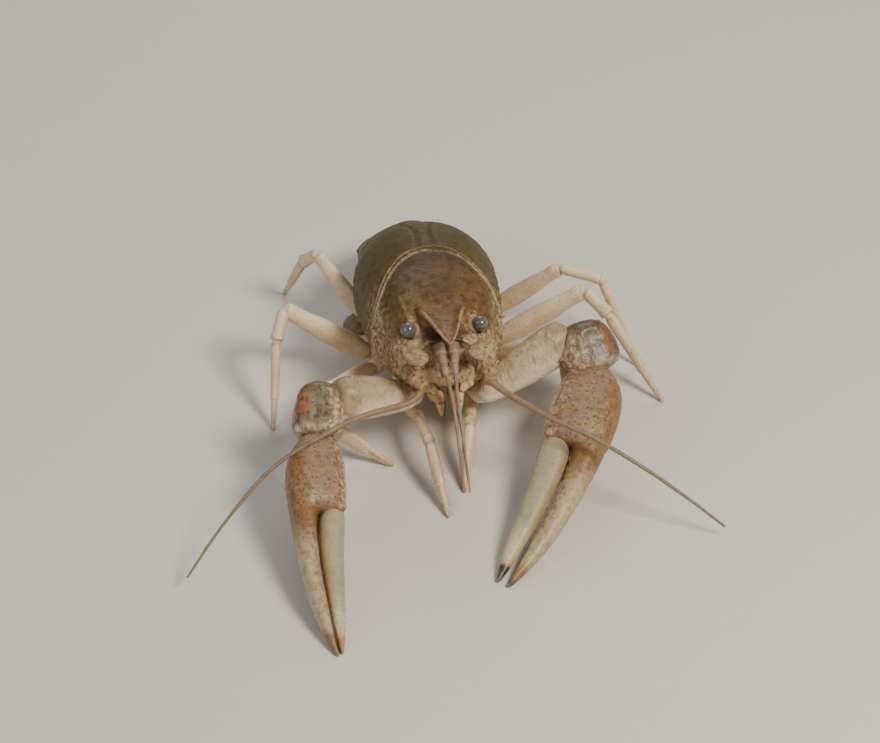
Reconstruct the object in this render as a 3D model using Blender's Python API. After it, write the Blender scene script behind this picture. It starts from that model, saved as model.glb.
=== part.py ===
"""A life-size crayfish standing with its front raised and both claws laid forward on their tips.

Sizes are in millimetres and are turned into metres when a mesh is made. The floor is z = 0, the
animal looks along -Y, and its own left side is at +X. The shell is worked out in the body's own
frame, level and with the mouth near z = 0, and body_to_world then tips it nose up and lifts it.
Limb joints are places above the floor.
"""

from math import cos, pi, radians, sin

import bmesh
import bpy
from mathutils import Vector

MM = 0.001
GAP = 0.3
HALF_GAP = GAP / 2

# Body size and stance
CARAPACE_LENGTH = 45.5
REAR_Y = 22.5
ROSTRUM_TIP_Y = REAR_Y - CARAPACE_LENGTH
FACE_Y = -16.8
SHELL_HALF_WIDTH = 12.3
SHELL_HEIGHT = 18.75
BODY_PITCH = 15.0
BODY_LIFT = 8.5

# Fineness
SHELL_SIDES = 32
LIMB_SIDES = 10
CLAW_SIDES = 14
FEELER_SIDES = 6

# Shell stations along the body: share of the half width, share of the height, and the height of the
# lower edge in millimetres
SHELL_STATIONS = (
    (FACE_Y, 0.44, 0.585, 2.6),
    (-15.0, 0.60, 0.665, 1.4),
    (-12.0, 0.74, 0.775, 0.5),
    (-8.0, 0.845, 0.872, 0.0),
    (-3.0, 0.920, 0.948, 0.0),
    (2.0, 0.968, 0.987, 0.0),
    (7.0, 0.996, 1.0, 0.0),
    (12.0, 1.0, 0.988, 0.0),
    (16.0, 0.955, 0.957, 0.0),
    (20.0, 0.865, 0.900, 0.3),
    (REAR_Y, 0.785, 0.838, 0.8),
)
SHELL_WAIST = 0.42
SHELL_ROUNDNESS = 2.25
SHELL_FLOOR_ROUNDNESS = 2.9

# Neck groove between the head shield and the thorax shield, as a height above the body's base line
GROOVE_FRONT_Y = -4.5
GROOVE_SWEEP = 9.2
GROOVE_BEND_Z = 5.0
GROOVE_POWER = 3.5

SIDES = {"right": -1, "left": 1}


def material(name, colour, roughness):
    """A plain finish with the part's colour and roughness."""
    made = bpy.data.materials.new(name)
    made.use_nodes = True
    shader = made.node_tree.nodes["Principled BSDF"]
    shader.inputs["Base Color"].default_value = (*colour, 1.0)
    shader.inputs["Roughness"].default_value = roughness
    shader.inputs["Metallic"].default_value = 0.0
    return made


def clear_scene():
    """Removes everything that the scene starts with."""
    for existing in list(bpy.data.objects):
        bpy.data.objects.remove(existing, do_unlink=True)


def new_collection(name):
    made = bpy.data.collections.new(name)
    bpy.context.scene.collection.children.link(made)
    return made


clear_scene()
CRAYFISH = new_collection("crayfish")
CUTTERS = new_collection("cutters")

HEAD_SHELL = material("head_shell", (0.20, 0.13, 0.07), 0.38)
THORAX_SHELL = material("thorax_shell", (0.17, 0.13, 0.06), 0.40)
TAIL_SHELL = material("tail_shell", (0.20, 0.14, 0.07), 0.40)
UNDERSIDE = material("underside", (0.62, 0.50, 0.38), 0.50)
LEG_SHELL = material("leg_shell", (0.66, 0.54, 0.43), 0.42)
ARM_SHELL = material("arm_shell", (0.62, 0.52, 0.38), 0.42)
PALM_SHELL = material("palm_shell", (0.42, 0.30, 0.25), 0.42)
FINGER_SHELL = material("finger_shell", (0.48, 0.49, 0.38), 0.40)
FEELER = material("feeler", (0.33, 0.25, 0.15), 0.45)
EYE = material("eye", (0.06, 0.07, 0.11), 0.12)


def body_to_world(point):
    """Tips a place in the body's frame nose up and lifts it to its height above the floor."""
    tip = radians(-BODY_PITCH)
    x, y, z = point
    return Vector((x, y * cos(tip) - z * sin(tip), y * sin(tip) + z * cos(tip) + BODY_LIFT))


def blend(stations, at):
    """Values between stations, joined by a smooth curve that passes through each of them."""
    places = [station[0] for station in stations]
    at = min(max(at, places[0]), places[-1])
    index = max(i for i, place in enumerate(places) if place <= at)
    index = min(index, len(stations) - 2)
    before = stations[max(index - 1, 0)]
    first, second = stations[index], stations[index + 1]
    after = stations[min(index + 2, len(stations) - 1)]
    span = second[0] - first[0]
    t = (at - first[0]) / span
    values = []
    for k in range(1, len(first)):
        rise_in = (second[k] - before[k]) / (second[0] - before[0]) * span
        rise_out = (after[k] - first[k]) / (after[0] - first[0]) * span
        values.append(
            (2 * t**3 - 3 * t**2 + 1) * first[k]
            + (t**3 - 2 * t**2 + t) * rise_in
            + (3 * t**2 - 2 * t**3) * second[k]
            + (t**3 - t**2) * rise_out
        )
    return values


def curve_through(points, steps):
    """Places along a smooth curve through the points, with a number of steps between each pair."""
    places = []
    for i in range(len(points) - 1):
        p0 = points[max(i - 1, 0)]
        p1, p2 = points[i], points[i + 1]
        p3 = points[min(i + 2, len(points) - 1)]
        for k in range(steps):
            t = k / steps
            places.append(
                0.5
                * (
                    2 * p1
                    + (p2 - p0) * t
                    + (2 * p0 - 5 * p1 + 4 * p2 - p3) * t**2
                    + (3 * p1 - p0 - 3 * p2 + p3) * t**3
                )
            )
    places.append(points[-1].copy())
    return places


def signed_power(value, power):
    return (1 if value >= 0 else -1) * abs(value) ** power


def loft(name, rings, finish, collection=CRAYFISH, bridged_caps=False):
    """A closed body through rings of equal count. Bridged caps join each place to its mirror image."""
    bm = bmesh.new()
    rows = [[bm.verts.new(place * MM) for place in ring] for ring in rings]
    count = len(rows[0])
    for first, second in zip(rows, rows[1:]):
        for i in range(count):
            j = (i + 1) % count
            bm.faces.new((first[i], first[j], second[j], second[i]))
    for row in (rows[0], rows[-1]):
        if not bridged_caps:
            bm.faces.new(row)
            continue
        half = count // 2
        bm.faces.new((row[0], row[1], row[count - 1]))
        bm.faces.new((row[half - 1], row[half], row[half + 1]))
        for i in range(1, half - 1):
            bm.faces.new((row[i], row[i + 1], row[count - i - 1], row[count - i]))
    bmesh.ops.recalc_face_normals(bm, faces=bm.faces)
    mesh = bpy.data.meshes.new(name)
    bm.to_mesh(mesh)
    bm.free()
    mesh.materials.append(finish)
    mesh.shade_smooth()
    mesh.set_sharp_from_angle(angle=radians(40))
    made = bpy.data.objects.new(name, mesh)
    collection.objects.link(made)
    return made


def bake(obj):
    """Applies the modifiers and keeps only the largest closed surface that they leave."""
    graph = bpy.context.evaluated_depsgraph_get()
    made = bpy.data.meshes.new_from_object(obj.evaluated_get(graph))
    obj.modifiers.clear()
    bm = bmesh.new()
    bm.from_mesh(made)
    bmesh.ops.remove_doubles(bm, verts=bm.verts, dist=1e-6)
    unseen = set(bm.faces)
    islands = []
    while unseen:
        stack = [unseen.pop()]
        island = list(stack)
        while stack:
            for edge in stack.pop().edges:
                for face in edge.link_faces:
                    if face in unseen:
                        unseen.remove(face)
                        stack.append(face)
                        island.append(face)
        islands.append(island)
    largest = max(islands, key=lambda faces: sum(face.calc_area() for face in faces))
    for island in islands:
        if island is not largest:
            bmesh.ops.delete(bm, geom=island, context="FACES")
    bmesh.ops.delete(bm, geom=[v for v in bm.verts if not v.link_faces], context="VERTS")
    bm.to_mesh(made)
    bm.free()
    old = obj.data
    obj.data = made
    bpy.data.meshes.remove(old)


def cut(obj, cutters):
    """Cuts one or more closed shapes away from a node."""
    for cutter in cutters:
        step = obj.modifiers.new("cut", "BOOLEAN")
        step.operation = "DIFFERENCE"
        step.solver = "EXACT"
        step.object = cutter
    bake(obj)


def fuse(obj, pieces):
    """Joins closed pieces to a node and removes them."""
    joined = bpy.data.collections.new("joined")
    for piece in pieces:
        joined.objects.link(piece)
    step = obj.modifiers.new("join", "BOOLEAN")
    step.operation = "UNION"
    step.solver = "EXACT"
    step.operand_type = "COLLECTION"
    step.collection = joined
    bake(obj)
    for piece in pieces:
        bpy.data.objects.remove(piece, do_unlink=True)
    bpy.data.collections.remove(joined)


def as_cutter(obj):
    """Marks a helper, which isn't part of the animal."""
    obj.hide_render = True
    obj.display_type = "WIRE"
    return obj


def shell_place(y, turn, grow=0.0):
    """A place on the shell, in the body's frame, at a station and a turn that starts under the belly."""
    width, height, low = blend(SHELL_STATIONS, y)
    half_width = SHELL_HALF_WIDTH * width + grow
    top = SHELL_HEIGHT * height + grow
    low -= grow
    waist = low + (top - low) * SHELL_WAIST
    across, up = sin(turn), -cos(turn)
    roundness = SHELL_ROUNDNESS if up > 0 else SHELL_FLOOR_ROUNDNESS
    x = half_width * signed_power(across, 2 / roundness)
    rise = top - waist if up > 0 else waist - low
    return Vector((x, y, waist + rise * signed_power(up, 2 / roundness)))


def groove_y(z):
    """How far back the neck groove lies at a height on the shell."""
    climb = max(z - GROOVE_BEND_Z, 0.0) / (SHELL_HEIGHT - GROOVE_BEND_Z)
    return GROOVE_FRONT_Y + GROOVE_SWEEP * climb**GROOVE_POWER


def shell_ring(share, start, end, grow=0.0):
    """One ring of the shell at a share of the way between two edges, which may follow the groove."""
    places = []
    for i in range(SHELL_SIDES):
        turn = 2 * pi * i / SHELL_SIDES
        y = 0.0
        for _ in range(6):
            z = shell_place(y, turn, grow).z
            y = start(z) + (end(z) - start(z)) * share
        places.append(body_to_world(shell_place(y, turn, grow)))
    return places


def tube(name, stations, finish, side, sides=LIMB_SIDES, start=None, end=None, collection=CRAYFISH):
    """A limb or feeler through stations of place, half width and half depth.

    side is the direction of the half width. start and end are cut planes of a place and a normal
    that the first and last rings lie in.
    """
    places = [Vector(station[0]) for station in stations]
    rings = []
    for i, station in enumerate(stations):
        before = places[max(i - 1, 0)]
        after = places[min(i + 1, len(places) - 1)]
        along = (after - before).normalized()
        across = (side - along * side.dot(along)).normalized()
        deep = along.cross(across)
        ring = []
        for k in range(sides):
            turn = 2 * pi * (k + 0.5) / sides
            place = places[i] + across * station[1] * cos(turn) + deep * station[2] * sin(turn)
            ring.append(hold_between(place, along, i, len(stations), start, end))
        rings.append(ring)
    rings = [[Vector((p.x, p.y, max(p.z, 0.0))) for p in ring] for ring in rings]
    return loft(name, rings, finish, collection)


def hold_between(place, along, index, count, start, end):
    """Moves a place along its limb so that it stays on its own side of both cut planes."""
    ring_step = 0.35
    for plane, steps, sign in ((start, index, 1), (end, count - 1 - index, -1)):
        if plane is None:
            continue
        on_plane, normal = Vector(plane[0]), Vector(plane[1]).normalized()
        slope = along.dot(normal)
        if abs(slope) < 0.2:
            continue
        past = (place - on_plane).dot(normal) / slope * sign
        least = steps * ring_step
        if steps == 0 or past < least:
            place = place + along * sign * (least - past)
    return place


def mitre(joint, before, after):
    """The planes on both sides of a bent joint: the end of one segment and the start of the next."""
    joint, before, after = Vector(joint), Vector(before), Vector(after)
    normal = ((joint - before).normalized() + (after - joint).normalized()).normalized()
    return (joint - normal * HALF_GAP, normal), (joint + normal * HALF_GAP, normal)


def between(first, second, share):
    return Vector(first).lerp(Vector(second), share)


# Head shield, thorax shield, beak and breast plate

ROSTRUM_STATIONS = (
    # place along the body, half width, top, thickness
    (-7.0, 3.0, 15.6, 2.4),
    (-11.5, 4.3, 14.9, 2.2),
    (-14.5, 3.3, 14.5, 1.9),
    (-18.0, 2.35, 14.15, 1.6),
    (-21.0, 1.45, 13.75, 1.3),
    (-22.4, 0.65, 13.35, 0.9),
    (ROSTRUM_TIP_Y, 0.25, 13.1, 0.5),
)
ROSTRUM_EDGE_RISE = 0.35
RIDGE_START = Vector((6.0, -8.0, 14.6))
RIDGE_END = Vector((5.3, -13.0, 13.7))


def beak():
    """The pointed beak between the eyes, hollowed along its top between raised edges."""
    rings = []
    for y, half, top, thick in ROSTRUM_STATIONS:
        edge = top + ROSTRUM_EDGE_RISE * min(half / 2.0, 1.0)
        outline = (
            (0.0, top),
            (-half * 0.6, top + (edge - top) * 0.3),
            (-half * 0.92, edge),
            (-half, edge - thick * 0.4),
            (-half * 0.55, top - thick * 0.85),
            (0.0, top - thick),
            (half * 0.55, top - thick * 0.85),
            (half, edge - thick * 0.4),
            (half * 0.92, edge),
            (half * 0.6, top + (edge - top) * 0.3),
        )
        rings.append([body_to_world((x, y, z)) for x, z in outline])
    return loft("beak", rings, HEAD_SHELL)


def ridge(side):
    """The low ridge behind an eye, which ends in a point over the socket."""
    stations = []
    for share, size in ((0.0, 0.3), (0.35, 0.75), (0.7, 0.8), (1.0, 0.25)):
        place = RIDGE_START.lerp(RIDGE_END, share)
        place.x *= side
        stations.append((body_to_world(place), size, size))
    return tube(f"ridge_{side}", stations, HEAD_SHELL, Vector((1, 0, 0)), sides=8)


def build_shields():
    front = lambda z: FACE_Y
    rear = lambda z: REAR_Y
    groove_before = lambda z: groove_y(z) - HALF_GAP
    groove_after = lambda z: groove_y(z) + HALF_GAP
    head_rings = [shell_ring(k / 7, front, groove_before) for k in range(8)]
    head = loft("carapace_head", head_rings, HEAD_SHELL, bridged_caps=True)
    thorax_rings = [shell_ring(k / 9, groove_after, rear) for k in range(10)]
    thorax = loft("carapace_thorax", thorax_rings, THORAX_SHELL, bridged_caps=True)
    fuse(head, [beak(), ridge(-1), ridge(1)])
    return head, thorax


def body_cutter():
    """The whole shell grown by the gap, which parts the limbs from it."""
    front = lambda z: FACE_Y - GAP
    rear = lambda z: REAR_Y + GAP
    rings = [shell_ring(k / 14, front, rear, GAP) for k in range(15)]
    return as_cutter(loft("body_cutter", rings, UNDERSIDE, CUTTERS, bridged_caps=True))


STERNUM_HALF_WIDTH = 3.1
STERNUM_DEPTH = 1.7
STERNUM_STATIONS = (
    # place along the body, share of the half width, share of the depth
    (-3.2, 0.45, 0.5),
    (-1.5, 0.75, 0.9),
    (4.0, 0.85, 1.0),
    (10.0, 1.0, 1.0),
    (16.0, 1.0, 0.95),
    (19.5, 0.8, 0.75),
    (21.5, 0.5, 0.4),
)


def build_sternum():
    """The breast plate between the legs, keeled along the middle."""
    rings = []
    for y, wide, deep in STERNUM_STATIONS:
        half, depth = STERNUM_HALF_WIDTH * wide, STERNUM_DEPTH * deep
        lift = blend(SHELL_STATIONS, y)[2] - GAP
        outline = (
            (-half, lift),
            (-half * 0.9, lift - depth * 0.6),
            (-half * 0.4, lift - depth * 0.8),
            (0.0, lift - depth),
            (half * 0.4, lift - depth * 0.8),
            (half * 0.9, lift - depth * 0.6),
            (half, lift),
        )
        rings.append([body_to_world((x, y, z)) for x, z in outline])
    return loft("sternum", rings, UNDERSIDE)


# Eyes

EYE_PLACE = Vector((6.05, -14.3, 12.25))
EYE_RADIUS = 1.3
STALK_ROOT = Vector((3.2, -12.3, 10.4))
STALK_RADIUS = 0.95


def eye_shape(name, side, grow, collection):
    """An eye ball on its short stalk, as one turned body along the stalk's line."""
    centre = Vector((EYE_PLACE.x * side, EYE_PLACE.y, EYE_PLACE.z))
    root = Vector((STALK_ROOT.x * side, STALK_ROOT.y, STALK_ROOT.z))
    along = (centre - root).normalized()
    across = along.cross(Vector((0, 0, 1))).normalized()
    deep = along.cross(across)
    radius = EYE_RADIUS + grow
    reach = (centre - root).length + grow
    profile = [(-reach, STALK_RADIUS + grow), (-radius * 1.05, STALK_RADIUS + grow)]
    for degrees in (-50, -25, 0, 25, 50, 72):
        profile.append((radius * sin(radians(degrees)), radius * cos(radians(degrees))))
    rings = []
    for distance, size in profile:
        ring = []
        for k in range(12):
            turn = 2 * pi * k / 12
            offset = across * cos(turn) * size + deep * sin(turn) * size
            ring.append(body_to_world(centre + along * distance + offset))
        rings.append(ring)
    return loft(name, rings, EYE, collection)


def build_eyes(head):
    for word, side in SIDES.items():
        socket = as_cutter(eye_shape(f"socket_{word}", side, GAP, CUTTERS))
        cut(head, [socket])
        eye_shape(f"eye_{word}", side, 0.0, CRAYFISH)


# Feelers

ANTENNULE_STEM = {
    "right": (Vector((-1.75, -15.8, 9.4)), Vector((-1.35, -18.5, 8.9)), Vector((-0.8, -21.3, 6.6))),
    "left": (Vector((1.75, -15.8, 9.4)), Vector((1.35, -18.5, 8.9)), Vector((0.8, -21.3, 6.6))),
}
ANTENNULE_WHIP = (
    # places above the floor, past the end of the stem
    Vector((0.55, -20.3, 15.8)),
    Vector((0.75, -23.8, 12.2)),
    Vector((0.85, -26.6, 9.3)),
    Vector((0.95, -29.0, 6.9)),
    Vector((1.05, -31.0, 4.7)),
)
ANTENNULE_SPLIT = 0.42


def build_antennules(shell):
    """The two small feelers, each a jointed stem that carries two whips side by side."""
    for word, side in SIDES.items():
        stem = [body_to_world(place) for place in ANTENNULE_STEM[word]]
        stations = [
            (stem[0], 1.25, 0.95),
            (between(stem[0], stem[1], 0.7), 1.2, 1.0),
            (between(stem[1], stem[2], 0.15), 0.8, 0.8),
            (stem[2], 0.6, 0.62),
        ]
        made = tube(f"antennule_{word}", stations, FEELER, Vector((1, 0, 0)), sides=8)
        whips = []
        for level, reach in ((ANTENNULE_SPLIT, 1.0), (-ANTENNULE_SPLIT, 0.86)):
            lift = Vector((0.0, -0.64, 0.77)) * level
            route = [between(stem[1], stem[2], 0.8) + lift * 0.6]
            aside = Vector((side * ANTENNULE_SPLIT, 0, 0))
            route += [place + aside + lift for place in ANTENNULE_WHIP]
            places = curve_through(route, 3)
            places = places[: max(int(len(places) * reach), 4)]
            last = len(places) - 1
            stations = [(p, 0.3 - 0.13 * k / last, 0.3 - 0.13 * k / last) for k, p in enumerate(places)]
            whip = tube(f"whip_{word}_{level}", stations, FEELER, Vector((1, 0, 0)), FEELER_SIDES)
            whips.append(whip)
        fuse(made, whips)
        cut(made, [shell])


ANTENNA_STEM = {
    # places in the body's frame, from the face to where the long whip starts
    "right": (Vector((-6.2, -15.2, 5.2)), Vector((-5.7, -17.4, 5.0)), Vector((-4.2, -19.3, 3.6))),
    "left": (Vector((6.2, -15.2, 5.2)), Vector((6.9, -17.4, 5.0)), Vector((6.9, -19.6, 3.7))),
}
ANTENNA_WHIP = {
    # places above the floor
    "right": (
        Vector((-7.0, -19.6, 15.9)),
        Vector((-14.9, -23.2, 17.0)),
        Vector((-21.4, -26.8, 17.2)),
        Vector((-31.3, -30.2, 13.4)),
        Vector((-40.0, -36.5, 8.0)),
        Vector((-47.0, -43.0, 2.6)),
    ),
    "left": (
        Vector((9.6, -20.9, 16.6)),
        Vector((15.3, -27.0, 16.2)),
        Vector((22.5, -31.6, 14.4)),
        Vector((30.5, -36.6, 10.8)),
        Vector((37.5, -40.4, 6.3)),
        Vector((42.5, -42.6, 2.3)),
    ),
}
ANTENNA_ROOT_RADIUS = 0.62
ANTENNA_TIP_RADIUS = 0.22


def build_antennae(shell):
    """The stout jointed stems of the long feelers and their whips."""
    for word, side in SIDES.items():
        first, middle, last = (body_to_world(place) for place in ANTENNA_STEM[word])
        whip = list(ANTENNA_WHIP[word])
        end, start = mitre(last, middle, whip[0])
        stations = [
            (first, 1.75, 1.6),
            (between(first, middle, 0.6), 1.8, 1.65),
            (middle, 1.45, 1.4),
            (between(middle, last, 0.5), 1.3, 1.25),
            (last, 1.0, 0.95),
        ]
        base = tube(f"antenna_base_{word}", stations, HEAD_SHELL, Vector((1, 0, 0)), end=end)
        cut(base, [shell])
        places = curve_through([last] + whip, 4)
        count = len(places) - 1
        thin = ANTENNA_ROOT_RADIUS - ANTENNA_TIP_RADIUS
        stations = []
        for k, place in enumerate(places):
            radius = ANTENNA_ROOT_RADIUS - thin * (k / count) ** 0.8
            stations.append((place, radius, radius))
        upright = Vector((0, 0, 1))
        tube(f"antenna_{word}", stations, FEELER, upright, FEELER_SIDES, start=start)


SCALE_ROOT = Vector((5.9, -15.4, 9.7))
SCALE_TIP = Vector((5.0, -22.4, 9.5))
SCALE_HALF_WIDTH = 1.9
SCALE_THICKNESS = 0.7


def build_scales(shell):
    """The flat blade beside each long feeler, straight outside and rounded inside."""
    outline = ((0.0, 0.7, 0.5), (0.25, 0.95, 0.95), (0.5, 0.9, 1.1), (0.75, 0.6, 0.85), (1.0, 0.1, 0.15))
    for word, side in SIDES.items():
        rings = []
        for share, outer, inner in outline:
            place = SCALE_ROOT.lerp(SCALE_TIP, share)
            thick = SCALE_THICKNESS * (1.0 - 0.35 * share) / 2
            left = place.x + SCALE_HALF_WIDTH * outer
            right = place.x - SCALE_HALF_WIDTH * inner
            middle = (left + right) / 2
            corners = (
                (left, place.z - 0.35),
                (middle, place.z + thick),
                (right, place.z + 0.25),
                (right, place.z + 0.25 - 2 * thick),
                (middle, place.z - thick),
                (left, place.z - 0.35 - 2 * thick),
            )
            rings.append([body_to_world((x * side, place.y, z)) for x, z in corners])
        cut(loft(f"antennal_scale_{word}", rings, HEAD_SHELL), [shell])


# Foot jaws

FOOT_JAW = (
    # place in the body's frame for the left one, half width, half depth
    (Vector((2.0, -4.0, 0.8)), 1.0, 0.9),
    (Vector((1.9, -6.5, -0.9)), 1.15, 0.95),
    (Vector((1.85, -11.0, -1.0)), 1.2, 1.0),
    (Vector((1.8, -14.4, -0.4)), 1.05, 0.9),
    (Vector((1.75, -16.8, 0.9)), 0.85, 0.8),
    (Vector((1.6, -18.0, 0.0)), 0.7, 0.65),
    (Vector((1.45, -18.4, -2.0)), 0.4, 0.4),
)


def build_foot_jaws(shell):
    """The outermost pair of mouthparts, folded forward below the mouth."""
    for word, side in SIDES.items():
        stations = []
        for place, wide, deep in FOOT_JAW:
            stations.append((body_to_world((place.x * side, place.y, place.z)), wide, deep))
        made = tube(f"foot_jaw_{word}", stations, LEG_SHELL, Vector((1, 0, 0)), sides=8)
        cut(made, [shell])


# Claws

ARM = {
    # root in the shell, foot of the upper arm, knee, elbow, palm's root and the tip of the fixed finger
    "right": (
        Vector((-4.2, 0.5, 11.0)),
        Vector((-4.9, -4.5, 8.4)),
        Vector((-5.6, -12.6, 11.2)),
        Vector((-18.3, -16.0, 15.0)),
        Vector((-23.0, -23.2, 12.6)),
        Vector((-24.3, -62.4, 0.15)),
    ),
    "left": (
        Vector((4.2, 0.5, 11.0)),
        Vector((4.9, -4.5, 8.4)),
        Vector((6.2, -13.6, 11.2)),
        Vector((20.4, -7.6, 16.3)),
        Vector((25.5, -12.4, 12.8)),
        Vector((4.6, -49.8, 0.15)),
    ),
}
WRIST_HEEL = {"right": Vector((-21.3, -14.8, 16.0)), "left": Vector((23.5, -6.2, 17.9))}
WRIST_SIDES = 14
WRIST_STATIONS = (
    # share of the way from the heel to the palm, half height, half width
    (0.0, 2.6, 3.0),
    (0.12, 3.6, 4.1),
    (0.4, 4.1, 5.0),
    (0.75, 4.1, 5.1),
    (0.92, 3.6, 4.4),
    (1.0, 3.0, 3.6),
)
CLAW_WIDTH = {"right": 0.85, "left": 1.0}
CLAW_GAPE = {"right": -0.5, "left": 0.35}
CLAW_ROLL = {"right": -12.0, "left": 8.0}
HINGE_AT = 0.325

PALM_STATIONS = (
    # share of the claw's length, outer edge, inner edge, half thickness
    (0.0, -3.3, 2.9, 2.5),
    (0.05, -5.3, 4.1, 3.2),
    (0.13, -6.7, 4.8, 3.7),
    (0.23, -7.2, 4.75, 3.8),
    (HINGE_AT, -7.0, 4.1, 3.45),
)
FINGER_STATIONS = (
    (0.345, -6.9, -1.3, 3.1),
    (0.40, -6.75, -2.2, 2.8),
    (0.50, -6.35, -2.25, 2.45),
    (0.62, -5.75, -2.0, 2.1),
    (0.76, -4.6, -1.4, 1.7),
    (0.88, -3.0, -0.85, 1.25),
    (0.96, -1.5, -0.35, 0.8),
    (1.0, -0.6, 0.1, 0.4),
)
DACTYL_STATIONS = (
    (0.352, -0.75, 3.6, 2.5),
    (0.39, -1.5, 3.75, 2.5),
    (0.46, -1.85, 3.45, 2.3),
    (0.58, -1.65, 2.95, 1.95),
    (0.72, -1.05, 2.6, 1.6),
    (0.85, -0.25, 2.4, 1.2),
    (0.94, 0.4, 1.85, 0.8),
    (0.985, 0.85, 1.45, 0.4),
)


def claw_axes(word):
    """The wrist, the direction to the tip, the direction towards the inner finger, and the claw's back."""
    wrist, tip = ARM[word][4], ARM[word][5]
    along = (tip - wrist).normalized()
    inward = Vector((-SIDES[word], 0, 0))
    inward = (inward - along * inward.dot(along)).normalized()
    back = along.cross(inward) * SIDES[word]
    turn = radians(CLAW_ROLL[word]) * SIDES[word]
    rolled = (inward * cos(turn) + back * sin(turn)).normalized()
    return wrist, (tip - wrist).length, along, rolled, along.cross(rolled) * SIDES[word]


def claw_rings(word, stations, gape=0.0):
    """Rings across a claw from its outer and inner edges, resting on the floor where they reach it."""
    wrist, length, along, inward, back = claw_axes(word)
    rings = []
    for share, outer, inner, thick in stations:
        outer, inner = outer * CLAW_WIDTH[word], inner * CLAW_WIDTH[word]
        opened = gape * max(share - HINGE_AT, 0.0) / (1 - HINGE_AT)
        middle = wrist + along * length * share + inward * ((outer + inner) / 2 + opened)
        half = (inner - outer) / 2
        ring = []
        for k in range(CLAW_SIDES):
            turn = 2 * pi * k / CLAW_SIDES
            place = middle + inward * half * signed_power(cos(turn), 0.85)
            place = place + back * thick * signed_power(sin(turn), 0.9)
            place.z = max(place.z, 0.0)
            ring.append(place)
        rings.append(ring)
    return rings


def wrist_body(name, word, grow, collection, end=None):
    """The wrist, which bulges back over the end of the arm."""
    heel, wrist = WRIST_HEEL[word], ARM[word][4]
    size = CLAW_WIDTH[word]
    back = (heel - wrist).normalized() * grow
    stations = [
        (between(heel + back, wrist, share), high + grow, wide * size + grow) for share, high, wide in WRIST_STATIONS
    ]
    upright = Vector((0, 0, 1))
    return tube(name, stations, PALM_SHELL, upright, WRIST_SIDES, end=end, collection=collection)


def build_claws(shell):
    for word, side in SIDES.items():
        root, hip, knee, elbow, wrist, tip = ARM[word]
        upright = Vector((0, 0, 1))
        wrist_end, palm_start = mitre(wrist, WRIST_HEEL[word], tip)
        stations = [
            (root, 1.9, 2.0),
            (hip, 1.9, 1.9),
            (between(hip, knee, 0.5), 2.1, 2.0),
            (between(hip, knee, 0.85), 2.1, 2.0),
            (between(knee, elbow, 0.12), 2.5, 2.3),
            (between(knee, elbow, 0.35), 3.3, 2.7),
            (between(knee, elbow, 0.6), 3.8, 3.1),
            (between(knee, elbow, 0.85), 3.9, 3.3),
            (elbow, 3.4, 3.0),
        ]
        arm = tube(f"arm_{word}", stations, ARM_SHELL, upright, 12)
        wrist_body(f"wrist_{word}", word, 0.0, CRAYFISH, wrist_end)
        cut(arm, [shell, as_cutter(wrist_body(f"wrist_room_{word}", word, GAP, CUTTERS))])
        rings = claw_rings(word, PALM_STATIONS + FINGER_STATIONS)
        trimmed = []
        _, _, along, _, _ = claw_axes(word)
        for i, ring in enumerate(rings[:3]):
            trimmed.append([hold_between(p, along, i, len(rings), palm_start, None) for p in ring])
        loft(f"palm_{word}", trimmed + rings[3:], PALM_SHELL)
        loft(f"claw_finger_{word}", claw_rings(word, DACTYL_STATIONS, CLAW_GAPE[word]), FINGER_SHELL)


# Walking legs

LEGS = {
    # root in the shell, hip, end of the short lower joint, knee, end of the wrist joint, foot
    "leg_2_right": ((-4.4, 4.6, 9.0), (-5.6, 2.6, 5.0), (-6.3, -3.6, 4.2), (-4.7, -13.0, 6.6),
                    (-3.7, -19.6, 6.7), (-2.2, -31.6, 0.0)),
    "leg_2_left": ((4.4, 4.6, 9.0), (5.6, 2.6, 5.0), (6.3, -3.0, 4.2), (4.5, -11.2, 6.4),
                   (3.6, -16.6, 7.4), (1.3, -25.6, 0.0)),
    "leg_3_right": ((-4.6, 8.4, 8.0), (-6.4, 6.9, 4.4), (-10.6, 3.2, 4.6), (-19.6, -7.0, 9.4),
                    (-19.4, -13.0, 6.4), (-9.6, -17.2, 0.0)),
    "leg_3_left": ((4.6, 8.4, 8.0), (6.4, 6.9, 4.4), (11.2, 3.4, 5.2), (21.2, -4.4, 11.6),
                   (21.2, -10.4, 7.6), (18.6, -19.2, 0.0)),
    "leg_4_right": ((-4.6, 12.6, 7.0), (-6.4, 11.2, 3.8), (-10.6, 8.7, 3.7), (-24.9, 8.0, 15.5),
                    (-26.7, 4.2, 11.9), (-28.6, -5.3, 0.0)),
    "leg_4_left": ((4.6, 12.6, 7.0), (6.4, 11.2, 3.8), (12.4, 9.2, 3.9), (26.6, 6.0, 15.5),
                   (30.2, 2.4, 12.6), (38.3, -7.0, 0.0)),
    "leg_5_right": ((-4.4, 16.8, 6.0), (-6.0, 15.8, 3.3), (-10.0, 18.8, 4.0), (-17.5, 22.8, 15.0),
                    (-19.6, 26.0, 11.0), (-22.6, 31.0, 0.0)),
    "leg_5_left": ((4.4, 16.8, 6.0), (6.0, 15.8, 3.3), (13.0, 17.2, 4.2), (23.4, 13.1, 15.0),
                   (30.2, 9.7, 14.5), (35.6, 3.0, 0.0)),
}
LEG_SIZE = {"2": 1.0, "3": 1.0, "4": 1.12, "5": 0.94}
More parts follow.
